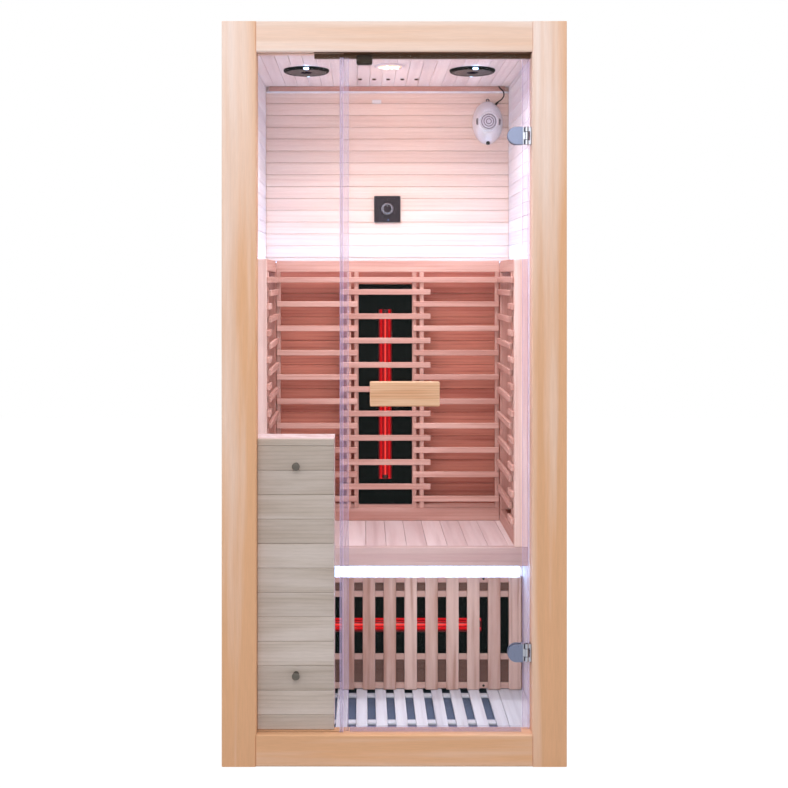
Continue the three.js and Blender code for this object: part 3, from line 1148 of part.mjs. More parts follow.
function hingeClamp() {
  const knuckleZ = centred(KNUCKLE_HEIGHT);
  const plates = cutFrom(alongY(clampOutline, ...clampY), [
    alongY(rectangle([clampLeftX - CLAMP_WEB, -PIVOT_TO_GLASS + SEAT_GAP], centred(2 * HINGE_HEIGHT)),
      -sealGlassHalf, sealGlassHalf),
  ]);
  const body = joined([
    plates,
    alongY(circle(clampArcX, 0, CLAMP_BOLT_RADIUS, SMALL_ROUND_SIDES), ...clampY),
    alongZ(rectangle([clampRightX - CLAMP_WEB / 2, 0], centred(TONGUE_THICKNESS)), ...knuckleZ),
    alongZ(circle(0, 0, KNUCKLE_RADIUS, SMALL_ROUND_SIDES), ...knuckleZ),
  ]);
  const pinBore = bore(0, 0, PIN_RADIUS + PIN_CLEARANCE, SMALL_ROUND_SIDES);
  return cutFrom(body, [alongZ(pinBore, -HINGE_HEIGHT, HINGE_HEIGHT)]);
}

// Hinge bracket: a plate on the post with an arm above and below the knuckle, and the pin between them
function hingeBracket() {
  const plateX = [PIVOT_TO_POST - SEAT_GAP - BRACKET_PLATE, PIVOT_TO_POST - SEAT_GAP];
  const armLow = KNUCKLE_HEIGHT / 2 + KNUCKLE_GAP;
  const armSpans = [[-hingeHalf, -armLow], [armLow, hingeHalf]];
  return joined([
    alongZ(rectangle(plateX, [-BRACKET_BEFORE_PIVOT, BRACKET_BEHIND_PIVOT]), -hingeHalf, hingeHalf),
    alongZ(circle(0, 0, PIN_RADIUS, SMALL_ROUND_SIDES), -hingeHalf, hingeHalf),
    ...armSpans.flatMap((span) => [
      alongZ(circle(0, 0, KNUCKLE_RADIUS, SMALL_ROUND_SIDES), ...span),
      alongZ(rectangle([0, plateX[1]], centred(TONGUE_THICKNESS)), ...span),
    ]),
  ]);
}

for (const [place, z] of Object.entries(hingeZ)) {
  addPiece(`hinge_clamp_${place}`, hingeClamp(), SATIN_METAL, door).position.z = z;
  addPiece(`hinge_bracket_${place}`, hingeBracket(), SATIN_METAL).position.set(pivotX, glassMidY, z);
}

// Handle blocks, chamfered all round, on sleeved bolts through the glass
const handleFaceY = glassHalf + HANDLE_FINGER_GAP;

function handleBlock() {
  const outline = rectangle(
    [-HANDLE_LENGTH / 2 + HANDLE_CHAMFER, HANDLE_LENGTH / 2 - HANDLE_CHAMFER],
    [-HANDLE_HEIGHT / 2 + HANDLE_CHAMFER, HANDLE_HEIGHT / 2 - HANDLE_CHAMFER],
  );
  const block = new THREE.ExtrudeGeometry(outline, {
    depth: HANDLE_THICKNESS - 2 * HANDLE_CHAMFER, bevelEnabled: true, bevelSegments: 1,
    bevelSize: HANDLE_CHAMFER, bevelThickness: HANDLE_CHAMFER,
  }).rotateX(quarterTurn).translate(0, -HANDLE_CHAMFER, 0);
  return cutFrom(block, centred(HANDLE_BOLT_SPACING).map((x) => boltHole(
    x, 0, HANDLE_BOLT_RADIUS + SEAT_GAP, -HANDLE_BOLT_DEPTH - SEAT_GAP, HANDLE_CHAMFER,
  )));
}

addPiece('handle_outer', handleBlock(), HANDLE_TIMBER, door).position.set(handleX, -handleFaceY, HANDLE_Z);
const innerHandle = addPiece('handle_inner', handleBlock(), HANDLE_TIMBER, door);
innerHandle.position.set(handleX, handleFaceY, HANDLE_Z);
innerHandle.rotation.z = Math.PI;

const sleeveEnd = handleFaceY - SEAT_GAP;
const boltEnd = handleFaceY + HANDLE_BOLT_DEPTH;
const handleBoltProfile = [
  [0, -boltEnd], [HANDLE_BOLT_RADIUS, -boltEnd],
  [HANDLE_BOLT_RADIUS, -sleeveEnd], [HANDLE_SLEEVE_RADIUS, -sleeveEnd],
  [HANDLE_SLEEVE_RADIUS, -sealGlassHalf], [HANDLE_BOLT_RADIUS, -sealGlassHalf],
  [HANDLE_BOLT_RADIUS, sealGlassHalf], [HANDLE_SLEEVE_RADIUS, sealGlassHalf],
  [HANDLE_SLEEVE_RADIUS, sleeveEnd], [HANDLE_BOLT_RADIUS, sleeveEnd],
  [HANDLE_BOLT_RADIUS, boltEnd], [0, boltEnd],
];
['left', 'right'].forEach((place, i) => {
  addPiece(`handle_bolt_${place}`, turned(handleBoltProfile, SMALL_ROUND_SIDES), SATIN_METAL, door)
    .position.set(handleBoltX[i], 0, HANDLE_Z);
});

// Strike plate on the door, facing the magnetic catch
const strikeTopZ = doorTopZ - SEAT_GAP;
addPiece('catch_strike', alongY(
  roundedRectangle(catchX, [strikeTopZ - STRIKE_HEIGHT, strikeTopZ], CATCH_ROUND), ...strikeY,
).translate(-pivotX, -glassMidY, 0), DARK_STEEL, door);

export default cabin;
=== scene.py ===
"""One-person infrared sauna cabin: its timber, glass, heaters and fittings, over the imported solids."""

import math
import random

import bpy
from bpy.props import FloatProperty, FloatVectorProperty, PointerProperty
from mathutils import Matrix, Vector


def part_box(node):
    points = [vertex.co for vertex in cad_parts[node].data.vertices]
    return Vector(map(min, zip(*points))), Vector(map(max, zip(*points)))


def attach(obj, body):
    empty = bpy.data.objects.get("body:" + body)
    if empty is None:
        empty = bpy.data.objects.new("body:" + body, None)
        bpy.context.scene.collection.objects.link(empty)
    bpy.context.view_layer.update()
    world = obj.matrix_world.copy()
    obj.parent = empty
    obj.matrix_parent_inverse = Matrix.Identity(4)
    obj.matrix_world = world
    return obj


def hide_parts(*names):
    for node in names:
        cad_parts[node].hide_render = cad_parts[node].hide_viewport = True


bl_info = {
    "name": "Infrared Sauna Cabin",
    "version": (1, 0, 0),
    "blender": (4, 5, 0),
    "location": "3D View > Sidebar > Sauna",
    "description": "Dresses the solids of a one-person infrared sauna cabin",
    "category": "Object",
}

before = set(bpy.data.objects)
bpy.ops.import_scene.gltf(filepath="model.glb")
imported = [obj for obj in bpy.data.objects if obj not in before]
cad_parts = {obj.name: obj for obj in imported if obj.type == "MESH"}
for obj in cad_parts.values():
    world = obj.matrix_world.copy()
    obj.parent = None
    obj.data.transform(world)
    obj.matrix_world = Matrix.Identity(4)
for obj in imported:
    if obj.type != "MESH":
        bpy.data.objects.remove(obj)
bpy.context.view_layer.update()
MM = 0.001
UP, DOWN, FRONT, BACK, LEFT, RIGHT = (0, 0, 1), (0, 0, -1), (0, -1, 0), (0, 1, 0), (-1, 0, 0), (1, 0, 0)

# Underside of the ceiling boards, in millimetres
CEILING = 1875

# Narrowest board that is worth cutting, in millimetres
SLIVER = 6

# Period of Blender's wave texture at scale 1, in metres
WAVE_PERIOD = math.pi / 10

# Pitch of the LEDs in a strip, in millimetres, and the share of their light that shows between them
LED_PITCH = 16
LED_DIM = 0.75

# Height in metres over which the painted shade at the foot fades into slightly paler painted light, and how
# much warmer the colour grows across a post (edge)
FOOT_SHADE_TOP = 1.7
EDGE_WARMTH = 0.75

# Each timber's name, pale ground and warm late wood
TIMBERS = {
    "frame": ("Front frame", "#F5E0D7", "#E3B088"),
    "roof": ("Roof", "#F5E0D7", "#CDBBAD"),
    "outer": ("Outer boards", "#F0D9C3", "#DDB791"),
    "wall": ("Back wall", "#F5E0D7", "#EBCCC0"),
    # The side walls' lavender white is painted light: the bluish tint of the LED light on them
    "side": ("Side walls", "#F8F8FF", "#EDE6F0"),
    "ceiling": ("Ceiling", "#FBEFEE", "#F2DFDE"),
    # The boards behind the slats are the same pale hemlock; their red-brown is painted shade, the deep
    # reddish shade of the recess
    "recess": ("Boards behind the slats", "#D88A76", "#B46052"),
    "slat": ("Seat grilles' slats", "#DBB0A5", "#C0887C"),
    "stile": ("Side grilles' stiles", "#F2D8D0", "#E0B4A8"),
    "kick": ("Kick grille's slats", "#DFC0B5", "#B98674"),
    "batten": ("Kick grille's battens", "#DBB0A5", "#DFC0B5"),
    # The kick grille's backing is dark brown as painted shade: boards set where the gaps between battens show
    # only shade
    "backing": ("Kick grille's backing", "#7C5B51", "#61443B"),
    "seat": ("Seat", "#EAD9DA", "#DBC0C1"),
    # The apron's dusky tone, darker than the seat's, is painted shade: the apron is backlit and in shadow
    "apron": ("Apron", "#D2B6B3", "#C29E9C"),
    "box": ("Front box", "#E8DAD3", "#CDBBAD"),
    "box_edge": ("Front box's edges", "#EAD9DA", "#D2B6B3"),
    # The floor slats' bluish white is painted light: the tint of the bench's LED light on them
    "floor": ("Floor slats", "#EFF1F8", "#D8D6E1"),
    "handle": ("Handles", "#F2C7A5", "#D89A70"),
    # The head stop's dark brown is partly its stain and partly painted shade; the same colour lines the
    # rail's underside as painted shade
    "stop": ("Head stop", "#65452C", "#4A2E1A"),
}


def linear(code):
    """An sRGB hex colour as linear RGBA."""
    parts = [int(code[i:i + 2], 16) / 255 for i in (1, 3, 5)]
    return tuple(p / 12.92 if p <= 0.04045 else ((p + 0.055) / 1.055) ** 2.4 for p in parts) + (1.0,)


def colour(name, description, code):
    """A colour that the sidebar offers."""
    return FloatVectorProperty(
        name=name, description=description, subtype="COLOR", size=4, min=0, max=1, default=linear(code))


def length(name, description, millimetres):
    """A length that the sidebar offers."""
    return FloatProperty(name=name, description=description, default=millimetres * MM, min=0,
                         subtype="DISTANCE", unit="LENGTH")


def strength(name, description, value):
    """A strength of light that the sidebar offers."""
    return FloatProperty(name=name, description=description, default=value, min=0, soft_max=50,
                         subtype="FACTOR")


class SaunaTimber(bpy.types.PropertyGroup):
    """Colours of the cabin's timbers, each a pale ground and a warm late-wood line"""

    __annotations__ = {
        f"{kind}_{tone}": colour(f"{name}, {tone}", f"{part}: {name.lower()}", code)
        for kind, (name, *codes) in TIMBERS.items()
        for tone, part, code in zip(("pale", "warm"), ("Pale ground", "Warm late wood"), codes)}


class SaunaFinish(bpy.types.PropertyGroup):
    """Colours and strengths of the cabin's metal, plastic, glass and lights"""

    steel: colour("Steel", "Satin bolts, rims and knob", "#A9ACB6")
    hinge: colour("Hinges", "Satin clamp hinges", "#767D94")
    black: colour("Black", "Lights, lead, screws and power box", "#0E0C0D")
    bronze: colour("Bolt caps", "Dulled caps of the front box's bolts", "#66615B")
    silver: colour("Silver", "Lacquer of the ionizer", "#F2F5FC")
    lavender: colour("Lavender", "Lens of the ionizer", "#E4E4F4")
    seal: colour("Seal", "Clear door seals", "#DCC8F0")
    glass: colour("Glass", "Tint of the glass front", "#3E5450")
    base: colour("Base sheet", "Sheet under the floor slats", "#62718C")
    heat: colour("Heat", "Glow of the heater tubes", "#C90812")
    led: colour("LED", "Light of the LED strips", "#A6D2FF")
    led_strength: strength("LED strength", "How brightly the LED strips shine", 20.5)
    heat_strength: strength("Heat strength", "How brightly the heater tubes glow", 1.1)


class SaunaSizes(bpy.types.PropertyGroup):
    """Sizes of the timber work that the solids leave plain"""

    board_pitch: length("Board pitch", "Height of one wall or ceiling board", 39)
    board_gap: length("Board gap", "Gap between neighbouring boards", 0.8)
    board_ease: length("Board ease", "Chamfer on each board's edges", 1.2)
    seat_board: length("Seat board", "Width of one seat board", 59.3)
    board_start: length("Lowest joint", "Height of the lowest joint of the wall boards", 26.3)
    board_thickness: length("Board thickness", "Thickness of one layer of wall boards", 10)
    slat_ease: length("Slat ease", "Rounding of each slat's edges", 2.0)
    handle_round: length("Handle round", "Rounding of the handles' edges", 3)


def feed(node, inputs):
    """Sets a node's inputs by name or number, or links them to a socket or to a node's first output."""
    for name, value in inputs.items():
        if isinstance(value, bpy.types.Node):
            value = value.outputs[0]
        if isinstance(value, bpy.types.NodeSocket):
            node.id_data.links.new(value, node.inputs[name])
        else:
            node.inputs[name].default_value = value


def add_node(tree, kind, inputs=None, **settings):
    """Adds a shader node with its settings and inputs."""
    node = tree.nodes.new(f"ShaderNode{kind}")
    for name, value in settings.items():
        setattr(node, name, value)
    feed(node, inputs or {})
    return node


def new_surface(name, **values):
    """A material with its node tree and its shader, whose own sockets take the values."""
    material = bpy.data.materials.new(name)
    material.use_nodes = True
    shader = material.node_tree.nodes["Principled BSDF"]
    feed(shader, {socket.replace("_", " "): value for socket, value in values.items()})
    return material, material.node_tree, shader


def softwood(name, kind, grain, ring=11.0, streak=30.0, figure=0.3, run=0.05, vary=0.0, spread=0.12,
             foot=0.0, edge=None):
    """Planed hemlock: a pale ground, long warm streaks and late-wood lines with the grain, and a dull sheen.
    Real growth lines are 1 to 3 mm apart; they are drawn wider so that they show. Boards vary in tone
    (spread) and warmth (vary). Towards the foot the colour grows warmer and darker, and towards the top a
    little paler, as painted shade and light (foot); it may also grow warmer from one x to another (edge)."""
    timber = bpy.context.scene.sauna_timber
    pale, warm = getattr(timber, f"{kind}_pale"), getattr(timber, f"{kind}_warm")
    material, tree, shader = new_surface(name, IOR=1.5, Specular_IOR_Level=0.3)
    place = add_node(tree, "TexCoord").outputs["Object"]
    board = add_node(tree, "Attribute", attribute_name="board").outputs
    shifted = add_node(tree, "VectorMath", {
        0: board["Vector"], 1: (3.1, 5.3, 7.7), 2: place}, operation="MULTIPLY_ADD")
    along = add_node(tree, "Mapping", {
        "Vector": shifted, "Scale": [run if axis == grain else 1 for axis in "XYZ"]})
    tone = add_node(tree, "TexNoise", {
        "Vector": along, "Scale": 1 / (streak * MM), "Detail": 3.0, "Roughness": 0.55})
    lines = add_node(tree, "TexWave", {
        "Vector": along, "Scale": WAVE_PERIOD / (ring * MM), "Distortion": 9.0, "Detail": 2.0,
        "Detail Scale": 0.5}, wave_type="RINGS", rings_direction=grain).outputs["Fac"]
    fibre = add_node(tree, "TexNoise", {
        "Vector": along, "Scale": 1 / (2.2 * MM), "Detail": 2.0, "Roughness": 0.6})
    warmth = add_node(tree, "MapRange", {
        "Value": tone, "From Min": 0.36, "From Max": 0.68, "To Min": 0.0, "To Max": 0.7})
    shifts = []
    if vary:
        shifts.append({"Value": board["Fac"], "To Min": -vary / 2, "To Max": vary / 2})
    # Painted shade and light: the colour warms and darkens towards the foot and pales a little towards the
    # top, as the light falls off downwards
    if foot:
        height = add_node(tree, "SeparateXYZ", {0: place}).outputs["Z"]
        shifts.append({"Value": height, "From Max": FOOT_SHADE_TOP, "To Min": foot, "To Max": -0.1})
    if edge:
        across = add_node(tree, "SeparateXYZ", {0: place}).outputs["X"]
        shifts.append({"Value": across, "From Min": edge[0] * MM, "From Max": edge[1] * MM,
                       "To Max": EDGE_WARMTH})
    for inputs in shifts:
        shift = add_node(tree, "MapRange", inputs)
        warmth = add_node(tree, "Math", {0: warmth, 1: shift}, operation="ADD", use_clamp=True)
    ground = add_node(tree, "Mix", {0: warmth, 6: pale, 7: warm}, data_type="RGBA").outputs[2]
    late = add_node(tree, "MapRange", {
        "Value": lines, "From Min": 0.5, "From Max": 1.0, "To Min": 0.0, "To Max": figure})
    fading = add_node(tree, "MapRange", {
        "Value": tone, "From Min": 0.4, "From Max": 0.6, "To Min": 0.25, "To Max": 1.0})
    drawn = add_node(tree, "Math", {0: late, 1: fading}, operation="MULTIPLY")
    lined = add_node(tree, "Mix", {
        0: drawn, 6: ground, 7: [c * 0.8 for c in warm[:3]] + [1]}, data_type="RGBA").outputs[2]
    shade = add_node(tree, "MapRange", {
        "Value": board["Fac"], "To Min": 1 + spread / 3, "To Max": 1 - spread * 2 / 3})
    speck = add_node(tree, "MapRange", {
        "Value": fibre, "From Min": 0.3, "From Max": 0.7, "To Min": 0.96, "To Max": 1.03})
    level = add_node(tree, "Math", {0: shade, 1: speck}, operation="MULTIPLY")
    feed(shader, {
        "Base Color": add_node(tree, "VectorMath", {0: lined, "Scale": level}, operation="SCALE"),
        "Roughness": add_node(tree, "MapRange", {"Value": fibre, "To Min": 0.5, "To Max": 0.68}),
        "Normal": add_node(tree, "Bump", {"Height": fibre, "Strength": 0.25, "Distance": 0.3 * MM})})
    return material


def moulded(name, shade, rough, grit=1.6, coat=0.0, metal=0.0, shine=0.5, relief=0.12):
    """Moulded or coated surface: an even colour with a fine grit that breaks up the highlight.
    The grit is drawn coarser than the real 0.3 mm so that it shows."""
    material, tree, shader = new_surface(name, Metallic=metal, Coat_Weight=coat, Specular_IOR_Level=shine)
    place = add_node(tree, "TexCoord").outputs["Object"]
    grain = add_node(tree, "TexNoise", {"Vector": place, "Scale": 1 / (grit * MM), "Detail": 2.0})
    cloud = add_node(tree, "TexNoise", {"Vector": place, "Scale": 1 / (60 * MM), "Detail": 2.0})
    level = add_node(tree, "MapRange", {"Value": cloud, "To Min": 0.9, "To Max": 1.1})
    feed(shader, {
        "Base Color": add_node(tree, "VectorMath", {0: shade[:3], "Scale": level}, operation="SCALE"),
        "Roughness": add_node(tree, "MapRange", {
            "Value": grain, "To Min": rough * 0.8, "To Max": min(1.0, rough * 1.25)}),
        "Normal": add_node(tree, "Bump", {"Height": grain, "Strength": relief, "Distance": 0.15 * MM})})
    return material


def satin_steel(name, shade, brush=(1, 1, 0.04), rough=0.3):
    """Brushed stainless steel: fine parallel scratches that stretch the highlight."""
    material, tree, shader = new_surface(name, Metallic=1.0)
    place = add_node(tree, "TexCoord").outputs["Object"]
    along = add_node(tree, "Mapping", {"Vector": place, "Scale": brush})
    scratch = add_node(tree, "TexNoise", {"Vector": along, "Scale": 1 / (0.9 * MM), "Detail": 2.0})
    level = add_node(tree, "MapRange", {"Value": scratch, "To Min": 0.86, "To Max": 1.1})
    feed(shader, {
        "Base Color": add_node(tree, "VectorMath", {0: shade[:3], "Scale": level}, operation="SCALE"),
        "Roughness": add_node(tree, "MapRange", {
            "Value": scratch, "To Min": rough * 0.7, "To Max": rough * 1.4})})
    return material


def float_glass(name, tint, opacity, smear=140.0):
    """Toughened clear glass: nearly unseen, with faint wiped smears in its gloss."""
    material, tree, shader = new_surface(name, Base_Color=tint, Alpha=opacity, IOR=1.5)
    place = add_node(tree, "TexCoord").outputs["Object"]
    wipe = add_node(tree, "TexNoise", {"Vector": place, "Scale": 1 / (smear * MM), "Detail": 3.0})
    feed(shader, {"Roughness": add_node(tree, "MapRange", {"Value": wipe, "To Min": 0.01, "To Max": 0.09})})
    return material


def lit_diffuser(name, light, power):
    """Milky diffuser over a row of LEDs: even white light, a little brighter over each LED."""
    material, tree, shader = new_surface(name, Base_Color=light, Roughness=0.45, Emission_Color=light)
    place = add_node(tree, "TexCoord").outputs["Object"]
    wave = add_node(tree, "TexWave", {"Vector": place, "Scale": WAVE_PERIOD / (LED_PITCH * MM)})
    feed(shader, {"Emission Strength": add_node(tree, "MapRange", {
        "Value": wave.outputs["Fac"], "To Min": power * LED_DIM, "To Max": power})})
    return material


def glowing(name, centre, across, stops, power, half):
    """Hot quartz, and the painted reflection of it on its reflector: stripes of red that run along the tube
    and fade across it.
    """
    material, tree, shader = new_surface(
        name, Base_Color=linear("#2A0606"), Roughness=0.3, Emission_Strength=power)
    place = add_node(tree, "TexCoord").outputs["Object"]
    centred = add_node(tree, "Mapping", {"Vector": place, "Location": [-c * MM for c in centre]})
    offset = add_node(tree, "Math", {
        0: add_node(tree, "SeparateXYZ", {0: centred}).outputs[across]}, operation="ABSOLUTE")
    share = add_node(tree, "Math", {0: offset, 1: half * MM}, operation="DIVIDE")
    ramp = add_node(tree, "ValToRGB", {0: share})
    elements = ramp.color_ramp.elements
    elements[0].position, elements[0].color = stops[0]
    elements[1].position, elements[1].color = stops[-1]
    for position, shade in stops[1:-1]:
        elements.new(position).color = shade
    feed(shader, {"Emission Color": ramp})
    return material


def pick(*pieces):
    """Selects these pieces alone and makes the first one active."""
    bpy.ops.object.select_all(action="DESELECT")
    for piece in pieces:
        piece.select_set(True)
    bpy.context.view_layer.objects.active = pieces[0]


def add_shape(kind, **settings):
    """A mesh primitive, with its place, turn and size applied."""
    bpy.ops.object.select_all(action="DESELECT")
    getattr(bpy.ops.mesh, f"primitive_{kind}_add")(**settings)
    bpy.ops.object.transform_apply(location=True, rotation=True, scale=True)
    return bpy.context.object


def select_parts(piece, mode, chosen):
    """Opens a piece for editing with its chosen edges or faces selected."""
    pick(piece)
    bpy.ops.object.mode_set(mode="EDIT")
    bpy.ops.mesh.select_mode(type=mode)
    bpy.ops.mesh.select_all(action="DESELECT")
    bpy.ops.object.mode_set(mode="OBJECT")
    for part in piece.data.edges if mode == "EDGE" else piece.data.polygons:
        part.select = chosen(part)
    bpy.ops.object.mode_set(mode="EDIT")


def finish_edit(inside=False):
    """Turns all the faces one way and closes the edit."""
    bpy.ops.mesh.select_all(action="SELECT")
    bpy.ops.mesh.normals_make_consistent(inside=inside)
    bpy.ops.object.mode_set(mode="OBJECT")


def bevel_edges(piece, chosen, offset, segments):
    """Rounds the edges whose two ends, in millimetres, pass the test."""
    select_parts(piece, "EDGE", lambda edge: chosen(*(piece.data.vertices[i].co / MM for i in edge.vertices)))
    bpy.ops.mesh.bevel(offset=offset * MM, segments=segments, affect="EDGES")
    bpy.ops.object.mode_set(mode="OBJECT")
    return piece


def add_block(low, high, ease=0.0, segments=1):
    """A block between two corners in millimetres, its edges eased."""
    piece = add_shape("cube", size=MM, location=[(a + b) / 2 * MM for a, b in zip(low, high)],
                      scale=[b - a for a, b in zip(low, high)])
    if ease:
        bevel_edges(piece, lambda a, b: True, ease, segments)
    return piece


def add_plate(low, high, facing, corner, ease, steps=6, round_ends=lambda a, b: True):
    """A block whose corners round about the facing axis (0, 1 or 2), where their ends pass the test,
    and whose two faces are eased."""
    piece = add_block(low, high)
    bevel_edges(piece, lambda a, b: abs(a[facing] - b[facing]) > 1e-3 and round_ends(a, b), corner, steps)
    return bevel_edges(piece, lambda a, b: abs(a[facing] - b[facing]) < 1e-3, ease, 2)


def turn(profile, centre, axis=UP, sides=40):
    """A turned solid: a disc extruded and resized through each (radius, height), then set on its axis."""
    radius, height = profile[0]
    piece = add_shape("circle", vertices=sides, radius=radius * MM, fill_type="NGON",
                      location=(0, 0, height * MM))
    bpy.ops.object.mode_set(mode="EDIT")
    bpy.ops.mesh.select_all(action="SELECT")
    for next_radius, next_height in profile[1:]:
        bpy.ops.mesh.extrude_region_move(
            TRANSFORM_OT_translate={"value": (0, 0, (next_height - height) * MM)})
        grow = next_radius / radius
        bpy.ops.transform.resize(value=(grow, grow, 1), center_override=(0, 0, next_height * MM))
        radius, height = next_radius, next_height
    finish_edit()
    turned = Vector(UP).rotation_difference(Vector(axis)).to_matrix().to_4x4()
    piece.data.transform(Matrix.Translation(Vector(centre) * MM) @ turned)
    return smooth(piece)


def smooth(piece, angle=35):
    """Shades round faces smooth and keeps sharp edges."""
    pick(piece)
    bpy.ops.object.shade_smooth_by_angle(angle=math.radians(angle))
    return piece


def repeat(piece, offsets):
    """The piece and copies of it, each with its own mesh, moved by the offsets in millimetres."""
    made = [piece]
    for offset in offsets[1:]:
        twin = piece.copy()
        twin.data = piece.data.copy()
        bpy.context.collection.objects.link(twin)
        twin.data.transform(Matrix.Translation(Vector(offset) * MM))
        made.append(twin)
    piece.data.transform(Matrix.Translation(Vector(offsets[0]) * MM))
    return made


def paint(material, *pieces):
    """Gives each piece the material alone."""
    for piece in pieces:
        piece.data.materials.clear()
        piece.data.materials.append(material)
    return list(pieces)


def cut(piece, cutter, keep=False):
    """Cuts one piece's shape out of another, and removes it unless it is kept."""
    pick(piece)
    modifier = piece.modifiers.new("cut", "BOOLEAN")
    modifier.object, modifier.operation, modifier.solver = cutter, "DIFFERENCE", "EXACT"
    bpy.ops.object.modifier_apply(modifier=modifier.name)
    if not keep:
        bpy.data.objects.remove(cutter)


def assemble(name, pieces, slot, *nodes, body="cabin"):
    """Joins pieces into one that rides on a body and stands for the nodes.
    Each keeps a board number, which shifts its grain and tone."""
    chance = random.Random(name)
    for piece in pieces:
        number = chance.random()
        board = piece.data.attributes.new("board", "FLOAT", "POINT")
        board.data.foreach_set("value", [number] * len(piece.data.vertices))
    pick(*pieces)
    if len(pieces) > 1:
        bpy.ops.object.join()
    whole = bpy.context.view_layer.objects.active
    whole.name = whole.data.name = name
    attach(whole, body)
    if nodes:
        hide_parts(*nodes)
    return whole


def dress(material, *nodes):
    """Gives solids that keep their shape a finished material."""
    for node in nodes:
        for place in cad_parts[node].material_slots:
            place.material = material


def node_box(node):
    """Lowest and highest corner of a solid, in millimetres."""
    low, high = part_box(node)
    return low / MM, high / MM


def joints(low, high, first, pitch):
    """Board edges from low to high, with whole boards between and cut ones at the ends."""
    start = first + pitch * math.ceil((low - first) / pitch)
    inner = []
    while start < high:
        inner.append(start)
        start += pitch
    edges = [low] + [edge for edge in inner if edge - low > SLIVER and high - edge > SLIVER] + [high]
    return list(zip(edges[:-1], edges[1:]))


def span_block(axis, spans, ease):
    """An eased block from three (low, high) spans in millimetres, with a gap of board_gap along one axis."""
    gaps = [0, 0, 0]
    gaps[axis] = bpy.context.scene.sauna_sizes.board_gap / MM / 2
    return add_block([a + gap for (a, b), gap in zip(spans, gaps)],
                     [b - gap for (a, b), gap in zip(spans, gaps)], ease)


class SAUNA_OT_stage(bpy.types.Operator):
    """Pale floor, white surroundings, soft studio lamps and the camera"""

    bl_idname = "sauna.stage"
    bl_label = "Stage"

    world_light = 0.42
    floor_white = 1.3
    floor_share = 0.72
    # Name, place, turn in degrees, side and power of the lamps round the cabin
    outside = (
        ("front_lamp", (-0.3, -3.2, 2.75), (62, 0, -5), 2.4, 50),
        ("left_lamp", (-3.6, -1.4, 2.2), (75, 0, -70), 2.0, 34),
        ("right_lamp", (3.6, -1.4, 2.2), (75, 0, 70), 2.0, 34),
        ("back_lamp", (0.6, 4.0, 2.4), (75, 0, 172), 2.4, 40),
    )
    # Name, place, tilt in degrees, size, power, spread in degrees and tint of the unseen lamps in the cabin
    inside = (
        ("cabin_fill", (0, -0.31, 0.78), 90, (0.66, 1.24), 1.9, 180, (0.95, 0.95, 1.0)),
        ("ceiling_wash", (0, -0.08, 1.855), 0, (0.56, 0.12), 4.7, 135, (0.98, 0.96, 1.0)),
        ("warm_glow", (0.06, 0.05, 1.845), 58, (0.3, 0.05), 0.26, 130, (1.0, 0.62, 0.38)),
    )

    def execute(self, context):
        scene = context.scene
        scene.view_settings.view_transform = "Standard"
        scene.world = bpy.data.worlds.new("white_studio")
        scene.world.use_nodes = True
        tree = scene.world.node_tree
        level = add_node(tree, "MapRange", {
            "Value": self.seen(tree), "To Min": self.world_light, "To Max": 1.0})
        feed(tree.nodes["Background"], {"Color": (1, 1, 1, 1), "Strength": level})
        self.floor()
        self.lamps(context)
        self.camera(context)
        return {"FINISHED"}

    def seen(self, tree):
        """1 for rays that show the surroundings, straight, mirrored or through glass."""
        path = add_node(tree, "LightPath").outputs
        ray = path["Is Camera Ray"]
        for kind in ("Is Glossy Ray", "Is Transmission Ray"):
            ray = add_node(tree, "Math", {0: ray, 1: path[kind]}, operation="MAXIMUM")
        return ray

    def floor(self):
        """A pale floor that fades into the white and keeps the cabin's shadow."""
        floor = add_shape("grid", x_subdivisions=8, y_subdivisions=8, size=14, location=(0, 0, -MM))
        floor.name = "studio_floor"
        material, tree, shader = new_surface("pale_floor", Base_Color=(0.5, 0.5, 0.5, 1), Roughness=0.9)
        white = add_node(tree, "Emission", {"Color": (1, 1, 1, 1), "Strength": self.floor_white})
        share = add_node(tree, "Math", {0: self.seen(tree), 1: self.floor_share}, operation="MULTIPLY")
        mixed = add_node(tree, "MixShader", {0: share, 1: shader, 2: white})
        feed(tree.nodes["Material Output"], {"Surface": mixed})
        paint(material, floor)

    def lamps(self, context):
        """A broad front lamp, weaker ones round the cabin, and unseen ones for the light that fills it."""
        for name, place, angles, side, power in self.outside:
            self.lamp(context, name, place, angles, (side, side), power)
        for name, place, tilt, size, power, spread, tint in self.inside:
            lamp = self.lamp(context, name, place, (tilt, 0, 0), size, power)
            lamp.data.spread, lamp.data.color = math.radians(spread), tint
            lamp.visible_camera = lamp.visible_glossy = lamp.visible_transmission = False

    def lamp(self, context, name, place, angles, size, power):
        data = bpy.data.lights.new(name, "AREA")
        data.shape, data.energy = "RECTANGLE", power
        data.size, data.size_y = size
        lamp = bpy.data.objects.new(name, data)
        lamp.location = place
        lamp.rotation_euler = [math.radians(angle) for angle in angles]
        context.collection.objects.link(lamp)
        return lamp

    def camera(self, context):
        """A level view from the front, shifted down and right of the lens axis."""
        data = bpy.data.cameras.new("front_view")
        data.sensor_width, data.lens = 36, 53.13
        data.shift_x, data.shift_y = 0.0393, -0.1447
        camera = bpy.data.objects.new("front_view", data)
        camera.location = (-0.0796, -3.412, 1.2404)
        camera.rotation_euler = (math.radians(90), 0, 0)
        context.collection.objects.link(camera)
        context.scene.camera = camera


